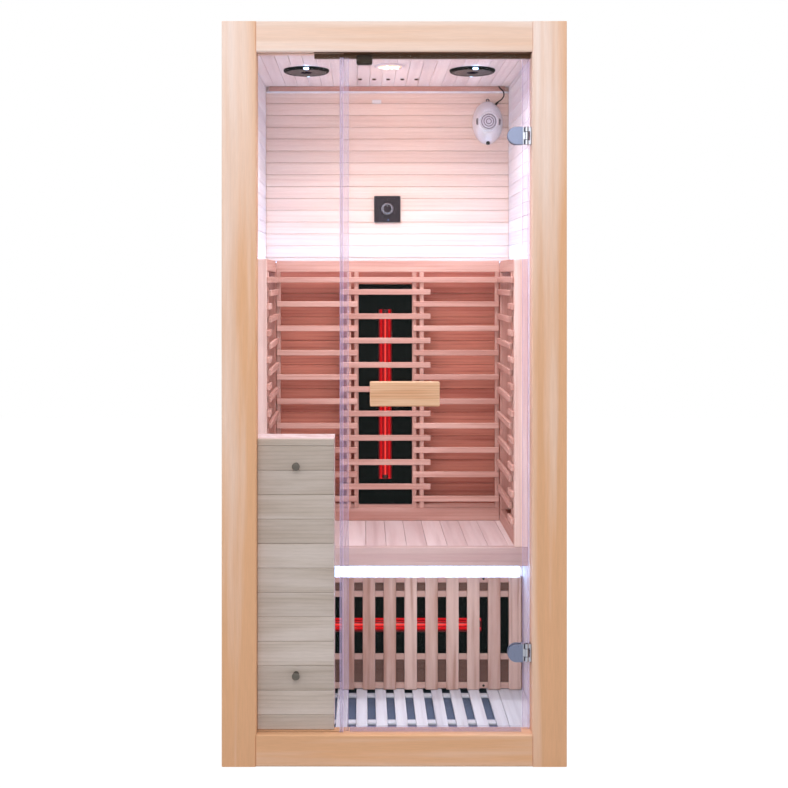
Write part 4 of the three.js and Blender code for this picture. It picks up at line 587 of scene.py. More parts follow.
class SAUNA_OT_lead(bpy.types.Operator):
    """The ionizer's lead, from its tapered boot up past the cornice into the ceiling"""

    bl_idname = "sauna.lead"
    bl_label = "Ionizer Lead"

    route = ((360.4, 399, 1821), (363, 399, 1824), (371, 397, 1829), (379, 395, 1838), (381.5, 393, 1849),
             (377, 393, 1860), (368, 393, 1868), (365, 393, 1875), (365, 393, 1880))
    steps = 4
    radius = 2.0
    boot = ((350, 399, 1809), (363, 399, 1824))
    collar = 6
    rib_count = 4

    def smooth_route(self):
        """The route's points on one Catmull-Rom curve."""
        points = [Vector(p) * MM for p in self.route]
        points = [2 * points[0] - points[1]] + points + [2 * points[-1] - points[-2]]
        line = []
        for a, b, c, d in zip(points, points[1:], points[2:], points[3:]):
            for step in range(self.steps):
                t = step / self.steps
                line.append(0.5 * (2 * b + (c - a) * t + (2 * a - 5 * b + 4 * c - d) * t ** 2
                                   + (3 * b - a - 3 * c + d) * t ** 3))
        return line + [points[-2]]

    def ribs(self, reach):
        """The boot's profile: a collar, then ribs that taper to the lead."""
        profile = [(4.4, 0), (4.4, self.collar)]
        for rib in range(self.rib_count):
            low = self.collar + rib * (reach - self.collar - 1) / self.rib_count
            size = 4.2 - rib * 0.35
            profile += [(size, low), (size, low + 1.6), (size - 0.8, low + 1.8), (size - 0.8, low + 2.8)]
        return profile + [(2.5, reach)]

    def execute(self, context):
        line = self.smooth_route()
        data = bpy.data.curves.new("ionizer_cord", "CURVE")
        data.dimensions, data.bevel_depth, data.bevel_resolution = "3D", self.radius * MM, 3
        data.use_fill_caps = True
        spline = data.splines.new("POLY")
        spline.points.add(len(line) - 1)
        for point, place in zip(spline.points, line):
            point.co = (*place, 1)
        cord = bpy.data.objects.new("ionizer_cord", data)
        context.collection.objects.link(cord)
        rubber = moulded("lead_rubber", context.scene.sauna_finish.black, 0.55)
        data.materials.append(rubber)
        start, end = (Vector(p) for p in self.boot)
        boot = turn(self.ribs((end - start).length), start, end - start, 24)
        boot = assemble("ionizer_lead_boot", paint(rubber, boot), "black_plastic")
        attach(cord, "cabin")
        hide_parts("ionizer_lead")
        return {"FINISHED"}


class SAUNA_OT_walls(bpy.types.Operator):
    """Boarded walls and ceiling: eased boards on both faces of a core, redder and darker behind the slats as
    painted shade
    """

    bl_idname = "sauna.walls"
    bl_label = "Walls and Ceiling"

    sheet = 2
    vents = (-89, -44.5, 0, 44.5, 89)
    vent_y = 259
    vent_reach = 8
    bore = ((6.5, 0), (6.5, 30))
    nozzle = ((6.3, 8), (6.3, -2.4), (5.6, -3.4), (3.8, -3.4), (3.6, 0))
    bead = 6
    bead_past = 10

    def execute(self, context):
        sizes = context.scene.sauna_sizes
        self.ease, self.pitch = sizes.board_ease / MM, sizes.board_pitch / MM
        self.skin, self.first = sizes.board_thickness / MM, sizes.board_start / MM
        # The side walls' timber carries the LED light's lavender tint as painted light
        self.pale = {"X": softwood("back_wall_hemlock", "wall", "X", spread=0.06),
                     "Y": softwood("side_wall_hemlock", "side", "Y")}
        # Boards behind the slats get a red-brown copy of the wall timber as painted shade
        self.recess = {axis: softwood(f"recess_hemlock_{axis}", "recess", axis, streak=22, figure=0.5,
                                      vary=0.5) for axis in "XY"}
        self.outer = {axis: softwood(f"outer_hemlock_{axis}", "outer", axis, streak=40, figure=0.2)
                      for axis in "XY"}
        self.back_wall()
        self.side_wall("left_wall", -1)
        self.side_wall("right_wall", 1)
        self.ceiling()
        self.cornice()
        return {"FINISHED"}

    def board(self, spans, material):
        return paint(material, span_block(2, spans, self.ease))

    def behind_slats(self, bottom, top):
        """Whether a board lies behind the seat grilles."""
        low, high = node_box("backrest_grille")
        return bottom > low.z - self.pitch / 2 and top < high.z + 4

    def back_wall(self):
        low, high = node_box("back_wall")
        inside = node_box("right_wall")[0].x
        near, far = low.y + self.skin, high.y - self.skin
        outer = self.outer["X"]
        boards = paint(outer, add_block((low.x + 1, near, 0.5), (high.x - 1, far, high.z), 0.5))
        for row in joints(low.z, high.z, self.first, self.pitch):
            # Behind the slats the inner boards take the red-brown painted shade
            inner = (self.recess if self.behind_slats(*row) else self.pale)["X"]
            boards += self.board(((low.x, high.x), (far, high.y), row), outer)
            boards += self.board(((-inside, inside), (low.y, near), row), inner)
            for end in ((low.x, -inside), (inside, high.x)):
                boards += self.board((end, (low.y, near), row), outer)
        assemble("back_wall_boards", boards, "wall_timber", "back_wall")

    def side_wall(self, node, side):
        low, high = node_box(node)
        inside, outside = (low.x, high.x) if side > 0 else (high.x, low.x)
        inner = sorted((inside, inside + side * self.skin))
        outer = sorted((outside, outside - side * self.skin))
        core = sorted((inside + side * self.skin, outside - side * self.skin))
        stile = node_box("side_grille_left")[0].y
        boards = paint(self.outer["Y"], add_block(
            (core[0], low.y + 1, 0.5), (core[1], high.y - 1, high.z), 0.5))
        for row in joints(low.z, high.z, self.first, self.pitch):
            boards += self.board((outer, (low.y, high.y), row), self.outer["Y"])
            # Behind the side grilles the inner boards take the red-brown painted shade; in front of the stile
            # they stay pale
            if self.behind_slats(*row):
                boards += self.board((inner, (low.y, stile), row), self.pale["Y"])
                boards += self.board((inner, (stile, high.y), row), self.recess["Y"])
            else:
                boards += self.board((inner, (low.y, high.y), row), self.pale["Y"])
        assemble(f"{node}_boards", boards, "wall_timber", node)

    def ceiling(self):
        """Boards that run front to back under a sheet, bored for the row of vents."""
        low, high = node_box("ceiling_panel")
        top = high.z - self.sheet
        boards = [add_block((low.x, low.y, top), high, 0.5)]
        for row in joints(low.x, high.x, self.pitch / 2, self.pitch):
            boards.append(span_block(0, (row, (low.y, high.y), (low.z, top)), self.ease))
        places = [(x, 0, 0) for x in self.vents]
        for x, bore in zip(self.vents, repeat(turn(self.bore, (0, self.vent_y, low.z - 10)), places)):
            for board in boards:
                across = [v.co.x / MM for v in board.data.vertices]
                if min(across) < x + self.vent_reach and max(across) > x - self.vent_reach:
                    cut(board, bore, keep=True)
            bpy.data.objects.remove(bore)
        paint(softwood("ceiling_hemlock", "ceiling", "Y"), *boards)
        assemble("ceiling_boards", boards, "wall_timber", "ceiling_panel")
        nozzles = repeat(turn(self.nozzle, (0, self.vent_y, low.z), sides=24), places)
        paint(moulded("vent_brown", linear("#5A4440"), 0.6, shine=0.2), *nozzles)
        assemble("ceiling_vent_nozzles", nozzles, "black_plastic")

    def cornice(self):
        """A batten along the top of the back wall in the ruddy slat tone as painted shade, over a pale bead
        as a painted lit edge.
        """
        low, high = node_box("back_cornice")
        batten = add_block((low.x, low.y, low.z + self.bead + 0.4), high, self.ease)
        bead = add_block((low.x - self.bead_past, low.y - 1.5, low.z),
                         (high.x + self.bead_past, high.y, low.z + self.bead), 1.6, 3)
        # The batten's ruddy tone is painted shade; the pale bead below paints its lit lower edge
        paint(softwood("cornice_hemlock", "slat", "X", figure=0.15), batten)
        paint(self.pale["Y"], bead)
        assemble("back_cornice_batten", [batten, bead], "wall_timber", "back_cornice")


class SAUNA_OT_front_frame(bpy.types.Operator):
    """Golden hemlock on the front posts, rail and sill, warmer and darker towards the foot as painted shade,
    and on the roof
    """

    bl_idname = "sauna.front_frame"
    bl_label = "Front Frame and Roof"

    amber = {"front_post_left": (-402, -354), "front_post_right": (412, 436)}

    def execute(self, context):
        # Posts, rail and sill grow warmer and darker towards the foot as painted shade (foot); each post also
        # grows warmer from one x to another (edge)
        for node, edge in self.amber.items():
            dress(softwood(f"{node}_hemlock", "frame", "Z", ring=24, streak=48, figure=0.16, foot=0.75,
                           edge=edge), node)
        level = softwood("frame_hemlock_level", "frame", "X", ring=26, streak=60, figure=0.16, foot=0.75)
        dress(level, "front_top_rail", "front_sill")
        dress(softwood("roof_ply", "roof", "Y", ring=30, streak=80), "roof_cover")
        return {"FINISHED"}


class SAUNA_OT_floor_slats(bpy.types.Operator):
    """Slatted floor on battens, over the blue-grey base sheet"""

    bl_idname = "sauna.floor_slats"
    bl_label = "Floor Slats"

    slat_count = 12
    slat_width = 32
    side_board = 76
    side_gap = 1
    batten_top = 12
    batten_width = 26
    batten_count = 3
    rear_inset = 20

    def execute(self, context):
        low, high = node_box("floor_duckboard")
        # The floor hemlock is bluish white as painted LED light
        wood = {axis: softwood(f"floor_hemlock_{axis}", "floor", axis, ring=9) for axis in "XY"}
        ease = context.scene.sauna_sizes.slat_ease / MM
        zone = high.x - self.side_board - self.side_gap
        pitch = (2 * zone - self.slat_width) / (self.slat_count - 1)
        slat = add_block((-zone, low.y, self.batten_top), (-zone + self.slat_width, high.y, high.z), ease, 2)
        slats = repeat(slat, [(i * pitch, 0, 0) for i in range(self.slat_count)])
        slats += [add_block((x, low.y, self.batten_top), (x + self.side_board, high.y, high.z), ease, 2)
                  for x in (low.x, high.x - self.side_board)]
        paint(wood["Y"], *slats)
        run = (high.y - low.y - self.batten_width - self.rear_inset) / (self.batten_count - 1)
        batten = add_block(low, (high.x, low.y + self.batten_width, self.batten_top), ease)
        slats += paint(wood["X"], *repeat(batten, [(0, i * run, 0) for i in range(self.batten_count)]))
        assemble("floor_slats", slats, "slat_timber", "floor_duckboard")
        dress(moulded("base_sheet_paint", context.scene.sauna_finish.base, 0.6, grit=3), "base_panel")
        return {"FINISHED"}


class SAUNA_OT_front_box(bpy.types.Operator):
    """Boarded box behind the fixed pane, with the capped bolts that hold it to the glass"""

    bl_idname = "sauna.front_box"
    bl_label = "Front Box"

    board_height = 63
    top_board = 18
    cap = ((8.6, 0), (10, 0.2), (10, 2.2), (9, 3.4), (6, 4), (2, 4.0))
    shank = ((4, 0), (4, 8.6), (8, 8.6), (8, 15.8), (4, 15.8), (4, 27))
    slot = (6, 0.9)

    def execute(self, context):
        hemlock = softwood("box_hemlock_X", "box", "X", ring=9, streak=34, figure=0.34, run=0.1, vary=0.35)
        low, high = node_box("front_box_panel")
        ease = context.scene.sauna_sizes.board_ease / MM
        boards = [span_block(2, ((low.x, high.x), (low.y, high.y), row), ease)
                  for row in joints(low.z, high.z, high.z - self.top_board - 20 * self.board_height,
                                    self.board_height)]
        assemble("front_box_boards", paint(hemlock, *boards), "box_timber", "front_box_panel")
        dress(softwood("box_edge_hemlock", "box_edge", "Z"), "front_box_carcass")
        metal = satin_steel("bolt_cap_bronze", context.scene.sauna_finish.bronze, (0.1, 1, 1), 0.38)
        for place in ("upper", "lower"):
            self.bolt(f"front_box_bolt_{place}", metal)
        return {"FINISHED"}

    def bolt(self, node, metal):
        """A domed cap on the glass with a screwdriver slot, a washer behind it and the shank."""
        low, high = node_box(node)
        x, _, z = (low + high) / 2
        cap = turn(self.cap, (x, low.y + 4, z), FRONT)
        wide, tall = self.slot
        cut(cap, add_block((x - wide, low.y - 1, z - tall), (x + wide, low.y + 1.2, z + tall)))
        shank = turn(self.shank, (x, low.y + 3.5, z), BACK)
        assemble(f"{node}_cap", paint(metal, cap, shank), "satin_metal", node)


class SAUNA_OT_bench(bpy.types.Operator):
    """Bench: seat boards, a rounded apron, darker as painted shade, the frame below and its LED strip"""

    bl_idname = "sauna.bench"
    bl_label = "Bench"

    first_joint = 47.2
    led_share = 0.36

    def execute(self, context):
        finish, sizes = context.scene.sauna_finish, context.scene.sauna_sizes
        low, high = node_box("bench_seat")
        boards = [span_block(0, (row, (low.y, high.y), (low.z, high.z)), sizes.board_ease / MM)
                  for row in joints(low.x, high.x, self.first_joint, sizes.seat_board / MM)]
        paint(softwood("seat_hemlock_Y", "seat", "Y", ring=14, figure=0.35, vary=0.7), *boards)
        assemble("bench_seat_boards", boards, "seat_timber", "bench_seat")
        apron = add_block(*node_box("bench_apron"), 3, 3)
        # The apron takes a darker copy of the seat timber as painted shade
        paint(softwood("apron_hemlock_X", "apron", "X", ring=16), apron)
        assemble("bench_apron_board", [apron], "apron_timber", "bench_apron")
        dress(softwood("bearer_hemlock_X", "kick", "X"), "bench_frame")
        light = lit_diffuser("bench_diffuser", finish.led, finish.led_strength * self.led_share)
        dress(light, "bench_led_strip")
        return {"FINISHED"}


class SAUNA_OT_kick_grille(bpy.types.Operator):
    """Upright slats under the bench, on four level battens, with dark backing boards behind two gaps as
    painted shade, and a few dark screws
    """

    bl_idname = "sauna.kick_grille"
    bl_label = "Kick Grille"

    slat_count = 13
    slat_width = 37
    slat_thickness = 10
    batten_height = 18
    batten_lows = (24, 109.7, 296.3, 339)
    backed_gaps = (0, 2)
    screw_x = 279
    screw_head = ((3.6, 0), (3.6, 0.8), (2.6, 1.8), (1, 2.1))

    def execute(self, context):
        low, high = node_box("kick_grille")
        ease = context.scene.sauna_sizes.slat_ease / MM
        pitch = (high.x - low.x - self.slat_width) / (self.slat_count - 1)
        back = low.y + self.slat_thickness
        slat = add_block(low, (low.x + self.slat_width, back, high.z), ease, 2)
        slats = paint(softwood("kick_hemlock_Z", "kick", "Z", ring=17, figure=0.6, run=0.1, vary=0.8),
                      *repeat(slat, [(i * pitch, 0, 0) for i in range(self.slat_count)]))
        batten = add_block((low.x, back, 0), (high.x, high.y, self.batten_height), ease)
        slats += paint(softwood("kick_hemlock_X", "batten", "X"),
                       *repeat(batten, [(0, 0, z) for z in self.batten_lows]))
        # Dark boards behind the lowest and the upper gap stand in for the shade there: painted shade
        shade_boards = softwood("kick_backing_hemlock", "backing", "X")
        for gap in self.backed_gaps:
            bottom = self.batten_lows[gap] + self.batten_height + 0.2
            top = self.batten_lows[gap + 1] - 0.2
            slats += paint(shade_boards, add_block((low.x + 4, back + 5, bottom), (high.x - 4, back + 8, top), 0.5))
        assemble("kick_slats", slats, "slat_timber", "kick_grille")
        screws = [self.screw(x, back, z) for x in (-self.screw_x, self.screw_x)
                  for z in (self.batten_lows[0] + 9, self.batten_lows[-1] + 12)]
        paint(moulded("screw_black", context.scene.sauna_finish.black, 0.4), *screws)
        assemble("kick_screws", screws, "black_metal")
        return {"FINISHED"}

    def screw(self, x, y, z):
        """A pan head with a cross recess."""
        head = turn(self.screw_head, (x, y, z), FRONT, 20)
        for wide, tall in ((2, 0.4), (0.4, 2)):
            cut(head, add_block((x - wide, y - 3, z - tall), (x + wide, y - 1.2, z + tall)))
        return head


class SAUNA_OT_heaters(bpy.types.Operator):
    """Two tube heaters: black housings, reflectors whose red glow is painted reflection of the tubes, and
    glowing quartz tubes
    """

    bl_idname = "sauna.heaters"
    bl_label = "Heaters"

    trough = 21.2
    tube = 8
    end_cap = ((8.4, 0), (10, 1), (10, 11), (8.4, 12))

    def execute(self, context):
        coat = moulded("heater_black_coat", linear("#080707"), 0.5, grit=2.2, shine=0.03)
        dress(coat, "back_heater_housing", "calf_heater_housing")
        self.ceramic = moulded("ceramic_cap", linear("#3A2020"), 0.6)
        self.heater("back_heater", 0, UP, context.scene.sauna_finish)
        self.heater("calf_heater", 2, RIGHT, context.scene.sauna_finish)
        return {"FINISHED"}

    def heater(self, name, across, axis, finish):
        low, high = node_box(f"{name}_tube")
        middle = (low + high) / 2
        face = node_box(f"{name}_housing")[0].y
        half = (high - low).dot(Vector(axis)) / 2
        red, bright, deep = tuple(finish.heat), linear("#FF3228"), linear("#5C0510")
        # The reflector glows red as painted reflection of the hot tube; it is no lamp
        liner = glowing(f"{name}_reflector_painted_reflection", middle, across, [
            (0.0, red), (0.4, deep), (0.52, red), (0.7, red), (0.86, deep), (1.0, linear("#120203"))],
            finish.heat_strength, self.trough)
        quartz = glowing(f"{name}_quartz_glow", middle, across, [
            (0.0, bright), (0.14, bright), (0.34, red), (0.7, deep), (1.0, red)],
            finish.heat_strength, self.tube)
        shell = turn([(self.trough, -half), (self.trough, half)], (middle.x, face, middle.z), axis)
        self.open_trough(shell, face)
        assemble(f"{name}_reflector", paint(liner, shell), "black_metal")
        pieces = paint(quartz, turn([(self.tube, 10 - half), (self.tube, half - 10)], middle, axis, 24))
        pieces += paint(self.ceramic, *(
            turn(self.end_cap, middle + Vector(axis) * start, axis, 24) for start in (-half, half - 12)))
        assemble(f"{name}_quartz_tube", pieces, "heater_red", f"{name}_tube")

    def open_trough(self, shell, face):
        """Keeps the half of a drum behind the housing's face, as a thin liner, hollow to the front."""
        pick(shell)
        bpy.ops.object.mode_set(mode="EDIT")
        bpy.ops.mesh.select_all(action="SELECT")
        bpy.ops.mesh.bisect(plane_co=(0, (face + 0.2) * MM, 0), plane_no=FRONT, clear_outer=True)
        finish_edit(inside=True)
        wall = shell.modifiers.new("wall", "SOLIDIFY")
        wall.thickness, wall.offset = 0.5 * MM, -1
        bpy.ops.object.modifier_apply(modifier=wall.name)


class SAUNA_OT_seat_grilles(bpy.types.Operator):
    """Backrest and side grilles: alternating slats on battens between rails, with the LED strip behind"""

    bl_idname = "sauna.seat_grilles"
    bl_label = "Seat Grilles"

    slat_height = 18
    slat_thickness = 10
    row_pitch = 39
    first_row = 1241
    row_count = 19
    top_rail = 36
    bottom_rail = 41
    rail_thickness = 16
    lip = (332, 520)
    batten = 14
    bay_centre = -8
    bay_half = 145
    bay_battens = (-100, 86, -124, 110)
    flank = 89
    slat_inset = 2
    stile_width = 26
    side_start = 8
    short_end = 86
    long_start = 49
    side_battens = (52, 69)
    rear_batten = 17
    led_width = 9
    cover_height = 3
    cover_inset = 0.6

    def execute(self, context):
        self.ease = context.scene.sauna_sizes.slat_ease / MM
        self.wood = {axis: softwood(f"slat_hemlock_{axis}", "slat", axis, ring=10, streak=26, vary=0.5)
                     for axis in "XYZ"}
        self.stile = softwood("stile_hemlock", "stile", "Z", ring=10, streak=26)
        self.backrest()
        self.side("side_grille_left", -1)
        self.side("side_grille_right", 1)
        self.led_channel(context.scene.sauna_finish)
        return {"FINISHED"}

    def led_channel(self, finish):
        """An aluminium channel round the inside of the rails, with the diffuser on top."""
        low, high = node_box("backrest_led_strip")
        left, right, inset = low.x + self.led_width, high.x - self.led_width, self.cover_inset
        runs = (((low.x, low.y), (left, high.y)), ((right, low.y), (high.x, high.y)),
                ((left + 0.2, high.y - self.led_width), (right - 0.2, high.y)))
        lip = high.z - self.cover_height
        troughs = [add_block((*a, low.z), (*b, lip), 0.5) for a, b in runs]
        covers = [add_block((a[0] + inset, a[1] + inset, lip - 1), (b[0] - inset, b[1] - inset, high.z), 1, 2)
                  for a, b in runs]
        paint(satin_steel("led_channel_aluminium", linear("#C9CBD0"), (0.05, 1, 1), 0.4), *troughs)
        paint(lit_diffuser("backrest_diffuser", finish.led, finish.led_strength), *covers)
        assemble("backrest_led_channel", troughs + covers, "led_light", "backrest_led_strip")

    def bar(self, grain, *spans):
        """A rounded bar from its spans along x, y and z, in millimetres."""
        low, high = zip(*(sorted(span) for span in spans))
        return paint(self.wood[grain], add_block(low, high, self.ease, 2))

    def rows(self):
        """Each row's number and heights, from the top down."""
        for row in range(self.row_count):
            middle = self.first_row - row * self.row_pitch
            yield row, (middle - self.slat_height / 2, middle + self.slat_height / 2)

    def backrest(self):
        low, high = node_box("backrest_grille")
        back, centre = low.y + self.slat_thickness, self.bay_centre
        left, right = low.x + self.slat_inset, high.x - self.slat_inset
        between = (low.z + self.bottom_rail, high.z - self.top_rail)
        bars = self.bar("X", (low.x, high.x), (back, back + self.rail_thickness), (between[1], high.z))
        bars += self.bar("X", (low.x, high.x), (back, high.y), (low.z, between[0]))
        bars += self.bar("X", (low.x + 0.5, high.x - 0.5), (self.lip[0], high.y - 0.3),
                         (low.z + 1, self.lip[1]))
        for x in (*(centre + offset for offset in self.bay_battens), low.x, high.x - self.batten):
            bars += self.bar("Z", (x, x + self.batten), (back, high.y), between)
        for row, heights in self.rows():
            if row == 0:
                spans = [(left, right)]
            elif row % 2:
                spans = [(centre - self.bay_half, centre + self.bay_half)]
            else:
                spans = [(left, centre - self.flank), (centre + self.flank, right)]
            for span in spans:
                bars += self.bar("X", span, (low.y, back), heights)
        assemble("backrest_slats", bars, "slat_timber", "backrest_grille")

    def side(self, node, side):
        low, high = node_box(node)
        slat, wall = (low.x, high.x) if side > 0 else (high.x, low.x)
        rail = slat + side * self.slat_thickness
        front, end = low.y, node_box("backrest_grille")[0].y - 0.3
        start = front + self.side_start
        between = (low.z + self.bottom_rail, high.z - self.top_rail)
        bars = paint(self.stile, *self.bar(
            "Z", (rail, wall), (front, front + self.stile_width), (low.z, high.z)))
        for heights in ((between[1], high.z), (low.z, between[0])):
            bars += self.bar("Y", (rail, rail + side * self.rail_thickness), (start, high.y), heights)
        for y in (*(front + offset for offset in self.side_battens), end - self.rear_batten):
            bars += self.bar("Z", (rail, wall), (y, y + self.batten), between)
        for row, heights in self.rows():
            if row == 0:
                span = (start, end)
            elif row % 2:
                span = (front + self.long_start, end)
            else:
                span = (start, front + self.short_end)
            bars += self.bar("Y", (slat, rail), span, heights)
        assemble(f"{node}_slats", bars, "slat_timber", node)


class SAUNA_OT_ceiling_lights(bpy.types.Operator):
    """Two dark blue ceiling lights with white LED studs that also paint the rim glints, and the warm centre
    lamp with glowing crystals that paint its starburst
    """

    bl_idname = "sauna.ceiling_lights"
    bl_label = "Ceiling Lights"

    rim = ((69, 0), (69, 3.5), (66.5, 7), (62, 9), (57, 8.6), (55.5, 6), (55, 2))
    ring = ((61, 8.2), (61, 9), (59.5, 9.2), (58.6, 9.0), (58.2, 8))
    face = ((54.6, 1.5), (54.6, 3.2), (46, 5.5), (34, 7.2), (18, 8.2), (4, 8.5))
    stud = ((7.5, 0), (7.5, 2.6), (6, 3.8), (2.4, 4.3))
    # Studs at the near and far rim: the lights' LEDs, drawn large and bright so that they also paint the rim
    # glints
    stud_places = ((3, 66, -4), (3, -69, -6))
    lamp_rim = ((45, 0), (45, 2), (43, 4), (38, 5), (36, 4.5), (35.4, 2))
    lamp_glass = ((34.8, 1), (34.8, 2.5), (29, 4.2), (18, 5.2), (4, 5.6))
    heart = ((9, 4.5), (8, 6), (4, 6.9))
    drop_count = 10
    drop_ends = (24, 33)

    def execute(self, context):
        finish = context.scene.sauna_finish
        self.black = moulded("light_rim_black", finish.black, 0.4, shine=0.05)
        self.blue = moulded("light_face_blue", linear("#10132A"), 0.3, shine=0.0)
        self.steel = satin_steel("light_ring_steel", linear("#20222E"), (1, 1, 1), 0.3)
        self.white = lit_diffuser("light_stud_white", finish.led, 14.0)
        for place in ("left", "right"):
            self.light(f"ceiling_light_{place}")
        self.lamp()
        return {"FINISHED"}

    def middle(self, node):
        """Where a fitting's axis meets the ceiling."""
        low, high = node_box(node)
        return Vector(((low.x + high.x) / 2, (low.y + high.y) / 2, CEILING))

    def light(self, name):
        centre = self.middle(f"{name}_rim")
        bezel = paint(self.black, turn(self.rim, centre, DOWN, 64))
        bezel += paint(self.steel, turn(self.ring, centre, DOWN, 64))
        assemble(f"{name}_bezel", bezel, "black_plastic", f"{name}_rim")
        face = paint(self.blue, turn(self.face, centre, DOWN, 64))
        assemble(f"{name}_face", face, "blue_lens", f"{name}_lens")
        # White studs glow as the LEDs and as painted glints on the rim
        studs = [turn(self.stud, centre + Vector(place), DOWN, 24) for place in self.stud_places]
        assemble(f"{name}_studs", paint(self.white, *studs), "led_light")

    def lamp(self):
        centre = self.middle("centre_lamp_rim")
        rim = paint(moulded("lamp_rim_white", linear("#F1E4EA"), 0.35), turn(self.lamp_rim, centre, DOWN, 64))
        assemble("centre_lamp_bezel", rim, "satin_metal", "centre_lamp_rim")
        glass = paint(lit_diffuser("lamp_glass_warm", linear("#FFDDB8"), 0.5),
                      turn(self.lamp_glass, centre, DOWN, 48))
        # Glowing drops round the lamp, drawn as crystals, paint its starburst of light; they are no lamps
        # themselves
        drops = [turn(self.heart, centre, DOWN, 24)]
        for i in range(self.drop_count):
            drop = add_block((10, -1.4, -6.6), (self.drop_ends[i % 2], 1.4, -4.4), 1)
            drop.data.transform(Matrix.Translation(centre * MM)
                                @ Matrix.Rotation(math.tau * i / self.drop_count, 4, "Z"))
            drops.append(drop)
        paint(lit_diffuser("lamp_burst_crystal_white", linear("#FFF6EA"), 3.0), *drops)
        assemble("centre_lamp_glass", glass + drops, "warm_light", "centre_lamp_lens")


class SAUNA_OT_controls(bpy.types.Operator):
    """Wall controller with its knob and marks, and the small temperature sensor"""

    bl_idname = "sauna.controls"
    bl_label = "Controller and Sensor"

    mark_count = 11
    mark_step = 30
    first_mark = -150
    # Distances of a mark's foot and top from the knob's axis, the top longer on each fifth mark
    mark_foot = 26
    mark_top = 31
    long_top = 33
    dot = ((1.8, -1), (1.8, 0.4), (1.2, 0.9))
    skirt = ((19, 0), (20, 0.6), (20, 3.4), (19, 4), (16.4, 4.2))
    ring = ((16.4, 15), (16.8, 16), (16.4, 18.6), (15.8, 19.2), (14.4, 19.2), (14, 18.4))
    grip = ((16, 4), (15.6, 12), (15.8, 18), (13.2, 18.2), (12.6, 18.8), (3, 19.2))
    slits = (-3, 0, 3)
    slit_half = 0.7

    def execute(self, context):
        black = moulded("controller_black", linear("#2C2229"), 0.45, shine=0.3)
        low, high = node_box("controller_plate")
        centre = (low + high) / 2
        plate = paint(black, add_plate(low, high, 1, 3, 1.2))
        assemble("controller_face", plate, "black_plastic", "controller_plate")
        marks = [self.mark(i, centre, low.y) for i in range(self.mark_count)]
        paint(moulded("mark_grey", linear("#565058"), 0.5), *marks)
        assemble("controller_marks", marks, "white_plastic")
        dot = paint(lit_diffuser("dot_blue", linear("#5F7FBF"), 0.7),
                    turn(self.dot, (centre.x + 3, low.y, low.z + 7), FRONT, 16))
        assemble("controller_dot", dot, "led_light")
        self.knob(black)
        self.sensor()
        return {"FINISHED"}

    def mark(self, number, centre, face):
        """One tick of the ring round the knob, on the plate's face."""
        top = self.mark_top if number % 5 else self.long_top
        mark = add_block((-0.6, face - 0.25, self.mark_foot), (0.6, face + 1, top), 0.15)
        angle = math.radians(self.first_mark + self.mark_step * number)
        mark.data.transform(Matrix.Translation((centre.x * MM, 0, centre.z * MM))
                            @ Matrix.Rotation(angle, 4, "Y"))
        return mark

    def knob(self, black):
        """A black grip between a steel skirt and a steel ring, with a pointer on its face."""
        low, high = node_box("control_knob")
        centre = Vector(((low.x + high.x) / 2, high.y, (low.z + high.z) / 2))
        skirt, ring, grip = (turn(profile, centre, FRONT, 48)
                             for profile in (self.skirt, self.ring, self.grip))
        pointer = add_block((-0.7, low.y + 0.2, centre.z + 5), (0.7, low.y + 1.6, centre.z + 12), 0.2)
        paint(satin_steel("knob_steel", linear("#85828C"), (1, 1, 1), 0.22), skirt, ring, pointer)
        paint(black, grip)
        assemble("control_knob_cap", [skirt, ring, grip, pointer], "satin_metal", "control_knob",
                 body="control_knob")

    def sensor(self):
        """A small white case with upright slits."""
        low, high = node_box("temperature_sensor")
        case = add_plate(low, high, 1, 2.5, 1)
        for offset in self.slits:
            x = (low.x + high.x) / 2 + offset
            cut(case, add_block((x - self.slit_half, low.y - 1, low.z + 4),
                                (x + self.slit_half, low.y + 2, high.z - 4)))
        paint(moulded("sensor_white", linear("#EFECEF"), 0.45), case)
        assemble("temperature_sensor_case", [case], "white_plastic", "temperature_sensor")


